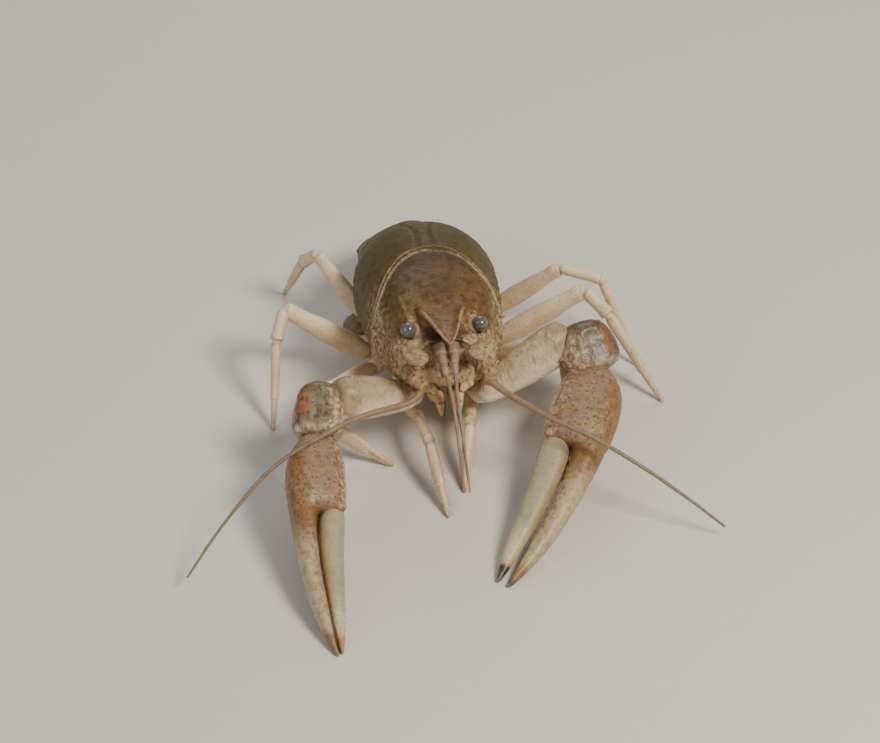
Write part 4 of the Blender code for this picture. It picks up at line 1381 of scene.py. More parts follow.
        # the orange side of the crown, the beak and the cheeks
        warm = 0.1 * rise(ahead, 12.0, 15.0) * rise(z, 12.0, 13.2) * hill(x, 2.6)
        warm += 0.85 * rise(z, 11.5, 8.0) * rise(ahead, 3.0, 9.0)
        warm += 0.22 * rise(x, 1.0, 5.0) * rise(z, 11.0, 13.5) * hill(y + 6.0, 4.5)
        warm += 0.3 * rise(ahead, 8.0, 11.0) * rise(z, 11.5, 13.0)
        warm += 0.45 * hill(to_rim, 0.45) * rise(ahead, 11.0, 14.0) * rise(z, 12.2, 13.0)
        # a purple-grey patch on the right of the crown and a bloom along the beak
        top = rise(z, 12.0, 14.5)
        cool = 0.95 * hill(x + 4.2, 2.6) * hill(y + 3.2, 3.0) * top
        cool += 0.7 * rise(ahead, 13.0, 16.0) * rise(z, 12.0, 13.0) * hill(x, 1.5)
        # greenish patches before the purple one, at the flanks and along the lower face
        green = 0.7 * hill(x + 5.0, 2.2) * hill(y + 8.0, 2.4) * top + 0.5 * face * rise(z, 5.0, 3.0)
        green += 0.85 * rise(wide, 7.0, 9.0) * rise(z, 6.0, 9.0) * rise(z, 14.0, 12.0)
        # the dark apex of the crown, painted shadow in the sockets and painted shade in the hollow under the
        # beak
        under = rise(wide, 3.4, 2.2) * rise(ahead, 14.2, 15.2) * rise(z, 12.2, 11.2)
        dark = 0.35 * rise(y, -2.5, 1.5) * rise(z, 14.0, 16.5) + 0.75 * under * rise(z, 7.5, 9.0)
        # painted shadow on the outer lower side of each eye socket
        dark += 0.5 * around(self.eye_place + Vector((1.0, 0.4, -1.2)), 1.2)
        flecks = face + 0.85 * hill(behind + 2.0, 2.2) * rise(z, 14.0, 11.0) + 0.45 * rise(z, 12.0, 8.0)
        dots = 0.25 + 0.75 * rise(z, 14.5, 9.0)
        painted(
            self.head, pale=pale, warm=warm, cool=cool, green=green, dark=dark, freckled=flecks, dotted=dots
        )
        self.wardrobe.dress(self.head, "head_shell", ["carapace_head"])

    def dress_thorax(self) -> None:
        """Paints the thorax shield: an olive back, greenish shoulders and warmer lower flanks, lightened as
        painted light.
        """
        body = in_body_frame(places_of(self.thorax))
        x, y, z = body.T
        wide = np.abs(x)
        behind = SHELL.behind_groove(body)
        line = hill(behind - 0.45, 0.3) * rise(z, 2.0, 6.0)
        rear = hill(SHELL.rear_y - y - 0.4, 0.5)
        shoulder = hill(behind - 2.0, 3.0) * rise(wide, 5.0, 8.5)
        flecks = hill(behind - 1.5, 2.2) * rise(z, 15.0, 12.0)
        # the lower flanks are warmed and lightened as painted light
        painted(
            self.thorax, pale=0.5 * line + 0.5 * rear + rise(z + 0.25 * wide, 3.4, 2.0),
            warm=0.6 * rise(z, 9.5, 3.0), cool=0.5 * rise(z, 12.0, 17.0),
            green=0.45 * shoulder + 0.15 * rise(wide, 6.0, 10.0),
            freckled=0.5 * flecks + 0.12 * rise(z, 13.0, 8.0), dotted=0.25 + 0.75 * rise(z, 14.5, 9.0)
        )
        self.wardrobe.dress(self.thorax, "thorax_shell", ["carapace_thorax"])


@dataclass
class Eyes:
    """The two eyes on their short stalks."""

    wardrobe: Wardrobe
    shields: Shields

    def build(self) -> None:
        """Makes each eye as a ball fused with its stalk."""
        self.made = {}
        for side in Side:
            centre = body_to_stance(self.shields.eye_place * side.flip)
            root = body_to_stance(self.shields.stalk_root * side.flip)
            radius = self.shields.eye_radius
            axis = (centre - root).normalized()
            length = (centre - root).length
            rows = [(-length, 0.7), (-length * 0.97, 1.1), (-radius * 1.5, 1.3), (-radius * 1.1, 1.38)]
            rows += [(-radius * 0.8, 1.3)]
            for step in range(4, 41):
                turn = -pi / 2 + pi * step / 41
                rows.append((radius * sin(turn), radius * cos(turn)))
            rows = [row for k, row in enumerate(rows) if k < 5 or row[0] > -0.6 * radius]
            across = axis.cross(UPRIGHT).normalized()
            deep = axis.cross(across)
            rings = []
            for reach, size in sorted(rows):
                rings.append(circle(centre + axis * reach, across, deep, size, 40))
            self.made[side] = ring_body(f"eye_ball_{side.word}", rings)

    def dress(self) -> None:
        """Paints the stalks apart from the glossy balls."""
        for side, piece in self.made.items():
            centre = body_to_stance(self.shields.eye_place * side.flip)
            axis = (centre - body_to_stance(self.shields.stalk_root * side.flip)).normalized()
            reach = (places_of(piece) - np.array(centre)) @ np.array(axis)
            painted(piece, pale=rise(reach, -0.6, -0.95))
            self.wardrobe.dress(piece, "eye", [f"eye_{side.word}"])


# Feelers and mouthparts


@dataclass
class Feelers:
    """The small forked feelers, the long feelers with their stems, and the blades beside them."""

    wardrobe: Wardrobe
    whip_step: int = 60
    antennule_stem: tuple = ((1.3, -14.9, 9.6), (1.1, -18.3, 8.9), (0.86, -20.1, 8.0), (0.76, -21.3, 6.6))
    antennule_whip: tuple = (
        (0.55, -20.3, 15.8), (0.75, -23.8, 12.2), (0.85, -26.6, 9.3), (0.95, -29.0, 6.9), (1.05, -31.0, 4.7)
    )
    split: float = 0.42
    stems: dict = field(
        default_factory=lambda: {
            Side.RIGHT: ((-6.2, -14.9, 5.3), (-5.7, -17.4, 5.0), (-4.2, -19.3, 3.6)),
            Side.LEFT: ((6.2, -14.9, 5.3), (6.9, -17.4, 5.0), (6.9, -19.6, 3.7))
        }
    )
    whips: dict = field(
        default_factory=lambda: {
            Side.RIGHT: (
                (-7.0, -19.6, 15.9), (-14.9, -23.2, 17.0), (-21.4, -26.8, 17.2), (-31.3, -30.2, 13.4),
                (-40.0, -36.5, 8.0), (-47.0, -43.0, 2.6)
            ),
            Side.LEFT: (
                (9.6, -20.9, 16.6), (15.3, -27.0, 16.2), (22.5, -31.6, 14.4), (30.5, -36.6, 10.8),
                (37.5, -40.4, 6.3), (42.5, -42.6, 2.3)
            )
        }
    )
    root_radius: float = 0.62
    tip_radius: float = 0.2
    scale_root: Vector = field(default_factory=lambda: Vector((5.9, -15.2, 9.7)))
    scale_tip: Vector = field(default_factory=lambda: Vector((5.0, -22.4, 9.5)))
    scale_half_width: float = 1.9

    def antennule(self, side: Side) -> bpy.types.Object:
        """One small feeler: three stem segments and two whips side by side."""
        stem = [body_to_stance(Vector(place) * side.flip) for place in self.antennule_stem]
        parts = []
        for start, end, wide, deep in (
            (stem[0], stem[1], 1.0, 0.95), (stem[1].lerp(stem[0], 0.08), stem[2], 0.72, 0.75),
            (stem[2].lerp(stem[1], 0.12), stem[3], 0.6, 0.62)
        ):
            profile = (
                (0.0, 0.6, 0.6), (0.1, 0.93, 0.9), (0.6, 1.0, 1.0), (0.93, 0.88, 0.86), (1.02, 0.55, 0.55)
            )
            profile = [(at, a * wide, b * deep) for at, a, b in profile]
            parts.append(Segment(start, end, profile, SIDEWAYS.copy(), 22, 18).build("stem"))
        for level, reach in ((self.split, 1.0), (-self.split, 0.86)):
            lift = Vector((0.0, -0.64, 0.77)) * level
            aside = Vector((side.value * self.split, 0, 0))
            route = [stem[2].lerp(stem[3], 0.75) + lift * 0.6]
            route += [Vector(place) + aside + lift for place in self.antennule_whip]
            places = curve_through(route, 30)
            places = places[: int(len(places) * reach)]
            parts.append(ring_body("whip", whip_rings(places, 0.31, 0.14, 3)))
        return joined(f"small_feeler_{side.word}", parts)

    def stem(self, side: Side) -> bpy.types.Object:
        """The stout stem of a long feeler, in three segments."""
        first, middle, last = (body_to_stance(place) for place in self.stems[side])
        parts = []
        for start, end, wide, deep in (
            (first, first.lerp(middle, 0.8), 1.8, 1.62),
            (first.lerp(middle, 0.7), middle.lerp(last, 0.45), 1.52, 1.42),
            (middle.lerp(last, 0.3), last, 1.18, 1.12)
        ):
            profile = (
                (0.0, 0.6, 0.6), (0.12, 0.93, 0.93), (0.6, 1.0, 1.0), (0.9, 0.96, 0.96), (1.02, 0.6, 0.6)
            )
            profile = [(at, a * wide, b * deep) for at, a, b in profile]
            parts.append(Segment(start, end, profile, SIDEWAYS.copy(), 28, 24).build("stem"))
        knobs = []
        for share, angle in ((0.75, 0.4), (0.75, 2.2), (0.75, 3.9)):
            foot = first.lerp(middle, share) + Vector((cos(angle) * 1.4, 0, sin(angle) * 1.3))
            knobs.append(spot(foot, (middle - first) + Vector((cos(angle), 0, sin(angle))), 0.35, 0.9))
        parts.append(scattered("thorns", thorn_template(), knobs))
        made = joined(f"feeler_stem_{side.word}", parts)
        one_skin(made, 0.13, 2)
        return made

    def whip(self, side: Side) -> bpy.types.Object:
        """The long whip of a feeler."""
        last = body_to_stance(self.stems[side][2])
        before = body_to_stance(self.stems[side][1])
        route = [last.lerp(before, 0.12)] + [Vector(place) for place in self.whips[side]]
        places = curve_through(route, self.whip_step)
        rings = whip_rings(places, self.root_radius, self.tip_radius, 4)
        collar = 14
        for k in range(collar):
            grow = 1.0 + 0.35 * (1 - k / collar)
            rings[k] = [places[k] + (place - places[k]) * grow for place in rings[k]]
        return ring_body(f"long_feeler_{side.word}", rings)

    def scale(self, side: Side) -> tuple[bpy.types.Object, bpy.types.Object]:
        """The blade beside a long feeler, with a thick outer edge that ends in a spine."""
        outline = (
            (0.0, 0.7, 0.5), (0.25, 0.95, 0.95), (0.5, 0.93, 1.1), (0.75, 0.72, 0.85), (0.92, 0.42, 0.35),
            (1.0, 0.2, -0.05)
        )
        rings = []
        for step in range(41):
            share = step / 40
            outer, inner = blend(outline, share)
            place = self.scale_root.lerp(self.scale_tip, share)
            left = place.x + self.scale_half_width * outer
            right = place.x - self.scale_half_width * inner
            thick = 0.34 * (1.0 - 0.35 * share)
            ring = []
            for k in range(28):
                turn = 2 * pi * k / 28
                across = cos(turn)
                x = (left + right) / 2 + (left - right) / 2 * across
                heavy = 1.0 + 0.7 * rise_of(across, 0.55, 1.0)
                z = place.z - 0.3 * across**2 + thick * heavy * signed_power(sin(turn), 0.7)
                z -= 0.22 * rise_of(-abs(across - 0.45), -0.25, 0.0) * (1 if sin(turn) > 0 else 0)
                ring.append(body_to_stance((x * side.value, place.y, z)))
            rings.append(ring)
        body = ring_body(f"feeler_blade_{side.word}", rings)
        hairs = []
        for step in range(46):
            share = 0.1 + 0.88 * step / 45
            outer, inner = blend(outline, share)
            place = self.scale_root.lerp(self.scale_tip, share)
            edge = Vector(
                ((place.x - self.scale_half_width * inner * 0.97) * side.value, place.y, place.z - 0.3)
            )
            aim = Vector((-side.value * (1.1 - share), -0.4 - share, 0.0))
            hairs.append(body_spot(edge, aim, 0.05, 1.0 - 0.2 * abs(share - 0.5)))
        return body, scattered(f"blade_hairs_{side.word}", bristle_template(), hairs)

    def build(self) -> None:
        """Makes all the feelers."""
        self.antennules = {side: self.antennule(side) for side in Side}
        self.stem_bodies = {side: self.stem(side) for side in Side}
        self.long_whips = {side: self.whip(side) for side in Side}
        self.scales = {side: self.scale(side) for side in Side}

    def dress(self) -> None:
        """Paints the feelers."""
        low = body_to_stance(self.antennule_stem[3]).z
        for side in Side:
            word = side.word
            # a greyer stem, pinkish whip roots and orange whip tips
            piece = self.antennules[side]
            z = places_of(piece)[:, 2]
            cool = 0.7 * rise(z, low - 0.5, low + 1.2)
            painted(piece, pale=0.6 * rise(z, 6.5, 12.0), warm=0.85 * rise(z, 9.0, 5.5), cool=cool)
            self.wardrobe.dress(piece, "feeler", [f"antennule_{word}"])
            # pale stems that darken below, with a warm flush near the face
            piece = self.stem_bodies[side]
            _, y, z = places_of(piece).T
            painted(piece, pale=0.35 * rise(z, 14.0, 18.0), warm=0.55 * rise(y, -20.5, -17.0), dotted=1.0)
            self.wardrobe.dress(piece, "head_shell", [f"antenna_base_{word}"])
            # long whips, warmer towards the root
            piece = self.long_whips[side]
            wide = np.abs(places_of(piece)[:, 0])
            painted(piece, warm=0.35 * rise(wide, 20.0, 4.0), cool=0.5 * rise(wide, 8.0, 25.0))
            self.wardrobe.dress(piece, "feeler", [f"antenna_{word}"])
            blade, hairs = self.scales[side]
            warm = 0.3 * rise(places_of(blade)[:, 1], -14.0, -20.0)
            painted(blade, pale=0.5, green=0.35, warm=warm, freckled=0.5)
            painted(hairs, pale=0.4)
            self.wardrobe.dress(blade, "head_shell", [f"antennal_scale_{word}"])
            self.wardrobe.dress(hairs, "head_shell", [], "bristles")


@dataclass
class FootJaws:
    """The outermost mouthparts, folded forward below the mouth, and smaller ones above them."""

    wardrobe: Wardrobe
    joints: tuple = (
        # place in the body frame, half width, half depth
        ((2.0, -4.0, 0.8), 1.0, 0.9),
        ((1.85, -11.0, -1.0), 1.25, 1.0),
        ((1.8, -14.4, -0.4), 1.1, 0.95),
        ((1.75, -16.8, 0.9), 0.9, 0.85),
        ((1.6, -18.0, 0.0), 0.72, 0.68),
        ((1.45, -18.4, -2.0), 0.35, 0.35),
    )

    def jaw(self, side: Side) -> bpy.types.Object:
        """One foot jaw in five segments."""
        parts = []
        for (start, wide, deep), (end, wide_end, deep_end) in zip(self.joints, self.joints[1:]):
            profile = (
                (-0.03, wide * 0.55, deep * 0.55), (0.08, wide * 0.95, deep * 0.95),
                (0.5, (wide + wide_end) / 2, (deep + deep_end) / 2), (0.9, wide_end, deep_end),
                (1.03, wide_end * 0.55, deep_end * 0.55)
            )
            a, b = body_to_stance(Vector(start) * side.flip), body_to_stance(Vector(end) * side.flip)
            parts.append(Segment(a, b, profile, SIDEWAYS.copy(), 24, 20, squareness=0.85).build("jaw"))
        return joined(f"foot_jaw_shell_{side.word}", parts)

    def palp(self, side: Side) -> bpy.types.Object:
        """A smaller mouthpart that lies beside and above the foot jaw."""
        route = ((3.4, -12.0, 1.3), (3.5, -15.2, 1.6), (2.9, -17.0, 2.6), (2.1, -17.4, 1.6))
        sizes = (0.75, 0.8, 0.66, 0.5, 0.3)
        parts = []
        for k, (start, end) in enumerate(zip(route, route[1:])):
            profile = (
                (-0.02, 0.3, 0.3), (0.1, sizes[k], sizes[k] * 0.85), (0.85, sizes[k + 1], sizes[k + 1]),
                (1.03, 0.2, 0.2)
            )
            a, b = body_to_stance(Vector(start) * side.flip), body_to_stance(Vector(end) * side.flip)
            parts.append(Segment(a, b, profile, SIDEWAYS.copy(), 16, 14).build("palp"))
        return joined(f"mouth_palp_{side.word}", parts)

    def fringe(self, side: Side) -> bpy.types.Object:
        """Bristles along the inner edge of a foot jaw."""
        hairs = []
        rows = list(zip(self.joints, self.joints[1:]))
        for k, ((start, wide, _), (end, wide_end, _)) in enumerate(rows):
            for step in range(16):
                share = (step + 0.5) / 16
                place = Vector(start).lerp(Vector(end), share)
                edge = place + Vector((-(wide + (wide_end - wide) * share) * 0.9, 0, -0.1))
                aim = Vector((-0.55, -0.5, -0.5 - 0.2 * (step % 3)))
                hairs.append(body_spot(edge * side.flip, aim * side.flip, 0.05, 1.0 + 0.2 * (step % 2)))
        return scattered(f"jaw_hairs_{side.word}", bristle_template(), hairs)

    def build(self) -> None:
        """Makes the mouthparts of both sides."""
        self.made = {side: (self.jaw(side), self.palp(side), self.fringe(side)) for side in Side}

    def dress(self) -> None:
        """Paints the mouthparts, brown-orange in front."""
        for side, (jaw, palp, hairs) in self.made.items():
            painted(jaw, warm=0.85 * rise(places_of(jaw)[:, 1], -11.0, -15.0), dotted=1.0)
            painted(palp, warm=0.7)
            painted(hairs, warm=0.5)
            self.wardrobe.dress(jaw, "leg_shell", [f"foot_jaw_{side.word}"])
            self.wardrobe.dress(palp, "leg_shell", [])
            self.wardrobe.dress(hairs, "leg_shell", [], "bristles")


# Claws


@dataclass
class ClawArm:
    """One great claw: the arm, the wrist, the palm with its fixed finger, and the moving finger."""

    wardrobe: Wardrobe
    side: Side
    root: Vector
    hip: Vector
    knee: Vector
    elbow: Vector
    heel: Vector
    wrist: Vector
    tip: Vector
    width: float
    gape: float
    roll: float
    hinge: float = 0.325
    palm_rows: Stations = (
        # share of the claw's length, outer edge, inner edge, half thickness
        (-0.012, -1.8, 1.6, 1.2),
        (0.0, -3.2, 2.8, 2.4),
        (0.05, -5.3, 4.1, 3.2),
        (0.13, -6.7, 4.8, 3.7),
        (0.23, -7.2, 4.75, 3.8),
        (0.30, -7.1, 4.35, 3.55),
        (0.335, -6.8, 3.9, 3.0),
        (0.352, -6.0, 3.0, 1.9),
        (0.358, -4.5, 1.6, 0.8),
    )
    finger_rows: Stations = (
        (0.24, -7.1, 0.6, 2.6), (0.30, -7.05, -0.4, 3.0), (0.345, -6.9, -1.3, 3.0),
        (0.40, -6.75, -1.9, 2.8), (0.46, -6.52, -2.1, 2.6), (0.52, -6.27, -2.15, 2.38),
        (0.62, -5.75, -2.0, 2.1), (0.76, -4.6, -1.4, 1.7), (0.88, -3.0, -0.85, 1.25),
        (0.96, -1.5, -0.35, 0.8), (0.99, -0.85, -0.05, 0.5), (1.0, -0.5, 0.05, 0.25)
    )
    moving_rows: Stations = (
        (0.338, 0.4, 2.6, 0.9), (0.352, -0.65, 3.55, 2.1), (0.39, -1.6, 3.75, 2.5),
        (0.46, -1.87, 3.45, 2.3), (0.58, -1.65, 2.95, 1.95), (0.72, -1.05, 2.6, 1.6),
        (0.85, -0.25, 2.4, 1.2), (0.94, 0.4, 1.85, 0.8), (0.975, 0.75, 1.55, 0.5), (0.988, 0.95, 1.35, 0.25)
    )

    def __post_init__(self) -> None:
        """Works out the claw's own directions: along it, towards its inner edge and out of its back."""
        self.length = (self.tip - self.wrist).length
        self.along = (self.tip - self.wrist).normalized()
        inward = Vector((-self.side.value, 0, 0))
        inward = (inward - self.along * inward.dot(self.along)).normalized()
        back = self.along.cross(inward) * self.side.value
        turn = radians(self.roll) * self.side.value
        self.inward = (inward * cos(turn) + back * sin(turn)).normalized()
        self.wrist_reach = (self.wrist - self.heel).length * 0.42
        self.back = self.along.cross(self.inward) * self.side.value

    def opened(self, share: float, gape: float) -> float:
        """How far the moving finger stands aside at a share of the length."""
        return gape * max(share - self.hinge, 0.0) / (1 - self.hinge)

    def claw_place(self, share: float, across: float, up: float, gape: float = 0.0) -> Vector:
        """A place in the claw's own directions.

        Args:
            share: The share of the claw's length from the wrist.
            across: Millimetres towards the inner edge.
            up: Millimetres out of the back.
            gape: How far the moving finger is opened at its tip.

        Returns:
            The place in the stance frame.
        """
        shifted = across + self.opened(share, gape)
        return self.wrist + self.along * self.length * share + self.inward * shifted + self.back * up

    def claw_body(self, name: str, rows: Stations, steps: int, gape: float, ridged: bool) -> bpy.types.Object:
        """A body across the claw from its outer to its inner edge.

        Args:
            name: The body's name.
            rows: Stations of share, outer edge, inner edge and half thickness.
            steps: How many rings it takes.
            gape: How far it is opened at its tip.
            ridged: Whether its back carries a ridge between two furrows.

        Returns:
            The body.
        """
        rings = []
        first, last = rows[0][0], rows[-1][0]
        for step in range(steps + 1):
            share = first + (last - first) * (1 - cos(pi * step / steps)) / 2
            outer, inner, thick = blend(rows, share)
            outer, inner = outer * self.width, inner * self.width
            middle, half = (outer + inner) / 2, (inner - outer) / 2
            strength = rise_of(share, 0.36, 0.5) * rise_of(share, 0.99, 0.9) if ridged else 0.0
            ring = []
            for k in range(48):
                turn = 2 * pi * k / 48
                swell = 1.0
                if ridged and sin(turn) > 0:
                    x = cos(turn)
                    ridge = 0.16 * np.exp(-((x / 0.2) ** 2))
                    swell += strength * (ridge - 0.10 * np.exp(-(((abs(x) - 0.45) / 0.16) ** 2)))
                across = middle + half * signed_power(cos(turn), 0.85)
                ring.append(
                    self.claw_place(share, across, thick * swell * signed_power(sin(turn), 0.9), gape)
                )
            rings.append(ring)
        return ring_body(name, rings)

    def teeth(self, rows: Stations, inner: bool, gape: float) -> list[Matrix]:
        """Low rounded teeth along a finger's cutting edge.

        Args:
            rows: The finger's stations.
            inner: Whether the cutting edge is the inner one.
            gape: How far the finger is opened at its tip.

        Returns:
            Where each tooth stands.
        """
        spots = []
        for k in range(17):
            share = 0.40 + 0.55 * (k if inner else k + 0.5) / 16
            edge = blend(rows, share)[1 if inner else 0] * self.width
            size = (0.62 if k in (2, 6) else 0.42) * (1.0 - 0.5 * k / 16)
            foot = self.claw_place(share, edge + (-0.12 if inner else 0.12), 0.1, gape)
            aim = self.inward * (1 if inner else -1)
            spots.append(spot(foot, aim, size, size * 0.75))
        return spots

    def palm(self) -> bpy.types.Object:
        """The palm with its fixed finger, beaded along its inner edge."""
        parts = [
            self.claw_body("palm", self.palm_rows, 56, 0.0, False),
            self.claw_body("finger", self.finger_rows, 96, 0.0, True)
        ]
        spots = self.teeth(self.finger_rows, True, 0.0)
        for k in range(8):
            share = 0.05 + 0.265 * k / 7
            inner = blend(self.palm_rows, share)[1] * self.width
            spots.append(
                spot(self.claw_place(share, inner - 0.25, 0.5), self.inward + self.back * 0.35, 0.5, 0.42)
            )
            thick = blend(self.palm_rows, share + 0.01)[2]
            across = inner - 1.35 * self.width
            knob = self.claw_place(share + 0.015, across, thick * 0.8)
            spots.append(spot(knob, self.inward * 0.5 + self.back, 0.42, 0.32))
        for across, up in ((2.6, 2.1), (2.6, -2.1), (-0.4, 2.5)):
            spots.append(spot(self.claw_place(0.342, across * self.width, up), self.along, 1.0, 0.9))
        parts.append(scattered("knobs", knob_template(), spots))
        made = joined(f"palm_shell_{self.side.word}", parts)
        one_skin(made, 0.2, 3)
        raised(made, self.palm_relief)
        on_floor(made)
        return made

    def palm_relief(self, places: np.ndarray) -> np.ndarray:
        """Low bumps over the palm and its outer edge, fading along the finger."""
        share, across, _ = self.claw_numbers(places)
        palm = rise(share, 0.42, 0.3)
        strength = 0.05 + 0.08 * rise(across, 2.4, 4.0) + 0.06 * rise(across, -5.0, -6.6)
        bumps = granules(places, 1.5, 0.42) * strength
        return palm * bumps + 0.06 * unevenness(places, 2.0) + 0.035 * unevenness(places, 0.8) - 0.03

    def moving_finger(self) -> bpy.types.Object:
        """The finger that closes on the fixed one."""
        parts = [self.claw_body("moving", self.moving_rows, 90, self.gape, True)]
        spots = self.teeth(self.moving_rows, False, self.gape)
        for k in range(4):
            share = 0.40 + 0.035 * k
            inner = blend(self.moving_rows, share)[1] * self.width
            spots.append(
                spot(self.claw_place(share, inner - 0.2, 0.4), self.inward + self.back * 0.3, 0.42, 0.36)
            )
        parts.append(scattered("knobs", knob_template(), spots))
        made = joined(f"moving_finger_{self.side.word}", parts)
        one_skin(made, 0.19, 3)
        raised(made, lambda p: 0.05 * unevenness(p, 2.0) + 0.03 * unevenness(p, 0.8) - 0.02)
        on_floor(made)
        return made

    def arm(self) -> bpy.types.Object:
        """The arm: its short lower segments and the long upper one."""
        parts = [
            Segment(
                self.root, self.hip, ((0.0, 1.7, 1.8), (0.5, 2.05, 2.0), (0.9, 1.95, 1.9), (1.1, 1.2, 1.2))
            ),
            Segment(
                self.hip, self.knee,
                (
                    (-0.1, 1.2, 1.2), (0.02, 1.85, 1.8), (0.3, 2.05, 1.95), (0.8, 2.2, 2.05),
                    (0.97, 1.9, 1.8), (1.08, 1.1, 1.1)
                )
            ),
            Segment(
                self.knee, self.elbow,
                (
                    (-0.06, 1.2, 1.1), (0.02, 2.05, 1.85), (0.2, 2.8, 2.4), (0.5, 3.6, 2.95),
                    (0.8, 3.85, 3.25), (0.96, 3.75, 3.2), (1.06, 3.1, 2.7), (1.12, 1.5, 1.3)
                ),
                sides=40, steps=50, squareness=0.92
            )
        ]
        parts = [part.build("arm") for part in parts]
        axis = (self.elbow - self.knee).normalized()
        up = (UPRIGHT - axis * UPRIGHT.dot(axis)).normalized()
        aside = axis.cross(up)
        rows = [(0.86, 80, 3.6, 0.5, 1.3), (0.80, 100, 3.6, 0.45, 1.2), (0.68, 88, 3.5, 0.34, 0.9)]
        for k in range(7):
            share = 0.3 + 0.6 * k / 6
            rows += [(share, turn, 2.2 + 1.1 * share, 0.36, 0.9) for turn in (-60, -120)]
        spots = []
        for share, turn, reach, size, length in rows:
            lean = up * sin(radians(turn)) + aside * cos(radians(turn))
            foot = self.knee.lerp(self.elbow, share) + lean * reach
            spots.append(spot(foot, lean * 0.8 + axis * 0.7, size, length))
        parts.append(scattered("thorns", thorn_template(), spots))
        made = joined(f"arm_shell_{self.side.word}", parts)
        one_skin(made, 0.2, 3)
        raised(made, lambda p: 0.07 * unevenness(p, 1.8) + 0.03 * unevenness(p, 0.7))
        return made

    def wrist_body(self) -> bpy.types.Object:
        """The wrist, furrowed along its back, with rows of knobs and spines on its inner side."""
        axis = self.wrist - self.heel
        along = axis.normalized()
        up = (UPRIGHT - along * UPRIGHT.dot(along)).normalized()
        inner = along.cross(up) * self.side.value
        inner = inner if inner.x * self.side.value < 0 else -inner

        crest = 0.45 if self.side is Side.RIGHT else 0.16

        def furrow(at: float, turn: float) -> float:
            """A furrow along the back, ahead of a raised heel."""
            off = abs((turn + pi) % (2 * pi) - pi)
            dip = 0.12 * np.exp(-((off / 0.26) ** 2)) * rise_of(at, 0.15, 0.35) * rise_of(at, 0.95, 0.75)
            return 1.0 - dip + crest * np.exp(-((off / 0.9) ** 2)) * rise_of(at, 0.5, 0.1)

        profile = [
            (-0.06, 1.2, 1.4), (-0.02, 2.1, 2.5), (0.06, 3.0, 3.4), (0.2, 3.75, 4.3), (0.45, 4.1, 5.0),
            (0.75, 4.1, 5.1), (0.9, 3.6, 4.4), (0.99, 2.7, 3.3), (1.03, 1.3, 1.5)
        ]
        profile = [(at, high, wide * self.width) for at, high, wide in profile]
        body = Segment(
            self.heel, self.wrist, profile, up, 44, 44, squareness=0.84, twist=furrow
        ).build("wrist")
        thorns, knobs = [], []
        self.knob_places = []
        for share, lift, size, length in (
            (0.5, 10, 0.75, 1.9), (0.8, 15, 0.5, 1.2), (0.25, 5, 0.42, 0.9), (0.7, -28, 0.45, 1.1),
            (0.9, 62, 0.42, 0.9)
        ):
            lean = inner * cos(radians(lift)) + up * sin(radians(lift))
            foot = self.heel + axis * share + inner * cos(radians(lift)) * 4.3 * self.width
            foot += up * sin(radians(lift)) * 3.4
            thorns.append(spot(foot, lean + along * 0.55, size, length))
        for k in range(21):
            share, lift = 0.1 + 0.13 * (k % 7), (22, 46, 150)[k // 7] + 4 * (k % 2)
            lean = inner * cos(radians(lift)) + up * sin(radians(lift))
            high, wide = blend(profile, share)
            foot = self.heel + axis * share + inner * cos(radians(lift)) * wide * 0.96
            foot += up * sin(radians(lift)) * high * 0.96
            knobs.append(spot(foot, lean, 0.48 + 0.1 * (k % 3), 0.42))
            self.knob_places.append(foot + lean * 0.3)
        parts = [
            body, scattered("thorns", thorn_template(), thorns), scattered("knobs", knob_template(), knobs)
        ]
        made = joined(f"wrist_shell_{self.side.word}", parts)
        one_skin(made, 0.19, 3)
        raised(made, lambda p: 0.05 * granules(p, 1.3, 0.4) + 0.08 * unevenness(p, 1.7))
        return made

    def build(self) -> None:
        """Makes the claw's four pieces."""
        self.arm_piece = self.arm()
        self.wrist_piece = self.wrist_body()
        self.palm_piece = self.palm()
        self.finger_piece = self.moving_finger()

    def claw_numbers(self, places: np.ndarray) -> tuple[np.ndarray, np.ndarray, np.ndarray]:
        """Places in the claw's own directions.

        Args:
            places: Rows of places in the stance frame.

        Returns:
            The share of the length, the distance towards the inner edge and that out of the back.
        """
        offset = places - np.array(self.wrist)
        share = offset @ np.array(self.along) / self.length
        return share, offset @ np.array(self.inward) / self.width, offset @ np.array(self.back)

    def dress(self) -> None:
        """Paints the claw."""
        self.dress_palm()
        self.dress_moving_finger()
        self.dress_wrist()
        self.dress_arm()

    def dot_layout(self, share: np.ndarray, across: np.ndarray, up: np.ndarray) -> dict[str, np.ndarray]:
        """Millimetres along and round the claw, so that the dots stay round at its edges."""
        return {"along": share * self.length, "across": 5.2 * np.arctan2(up / 3.7, (across + 1.2) / 5.8)}

    def dress_palm(self) -> None:
        """Paints the palm and its fixed finger."""
        share, across, up = self.claw_numbers(places_of(self.palm_piece))
        finger = rise(share, 0.40, 0.55)
        # cream beads, hinge knobs and finger ridge
        ridge = finger * (0.3 + 0.45 * hill(across + 4.2, 1.0) * rise(up, 0.2, 1.0))
        knobs = hill(across - 3.1, 1.2) + hill(across - 0.2, 0.9)
        pale = 0.75 * rise(across, 3.4, 4.4) * rise(share, 0.36, 0.3) + ridge * rise(share, 0.93, 0.86)
        pale += 1.7 * hill(share - 0.332, 0.026) * knobs * rise(up, 0.0, 1.0)
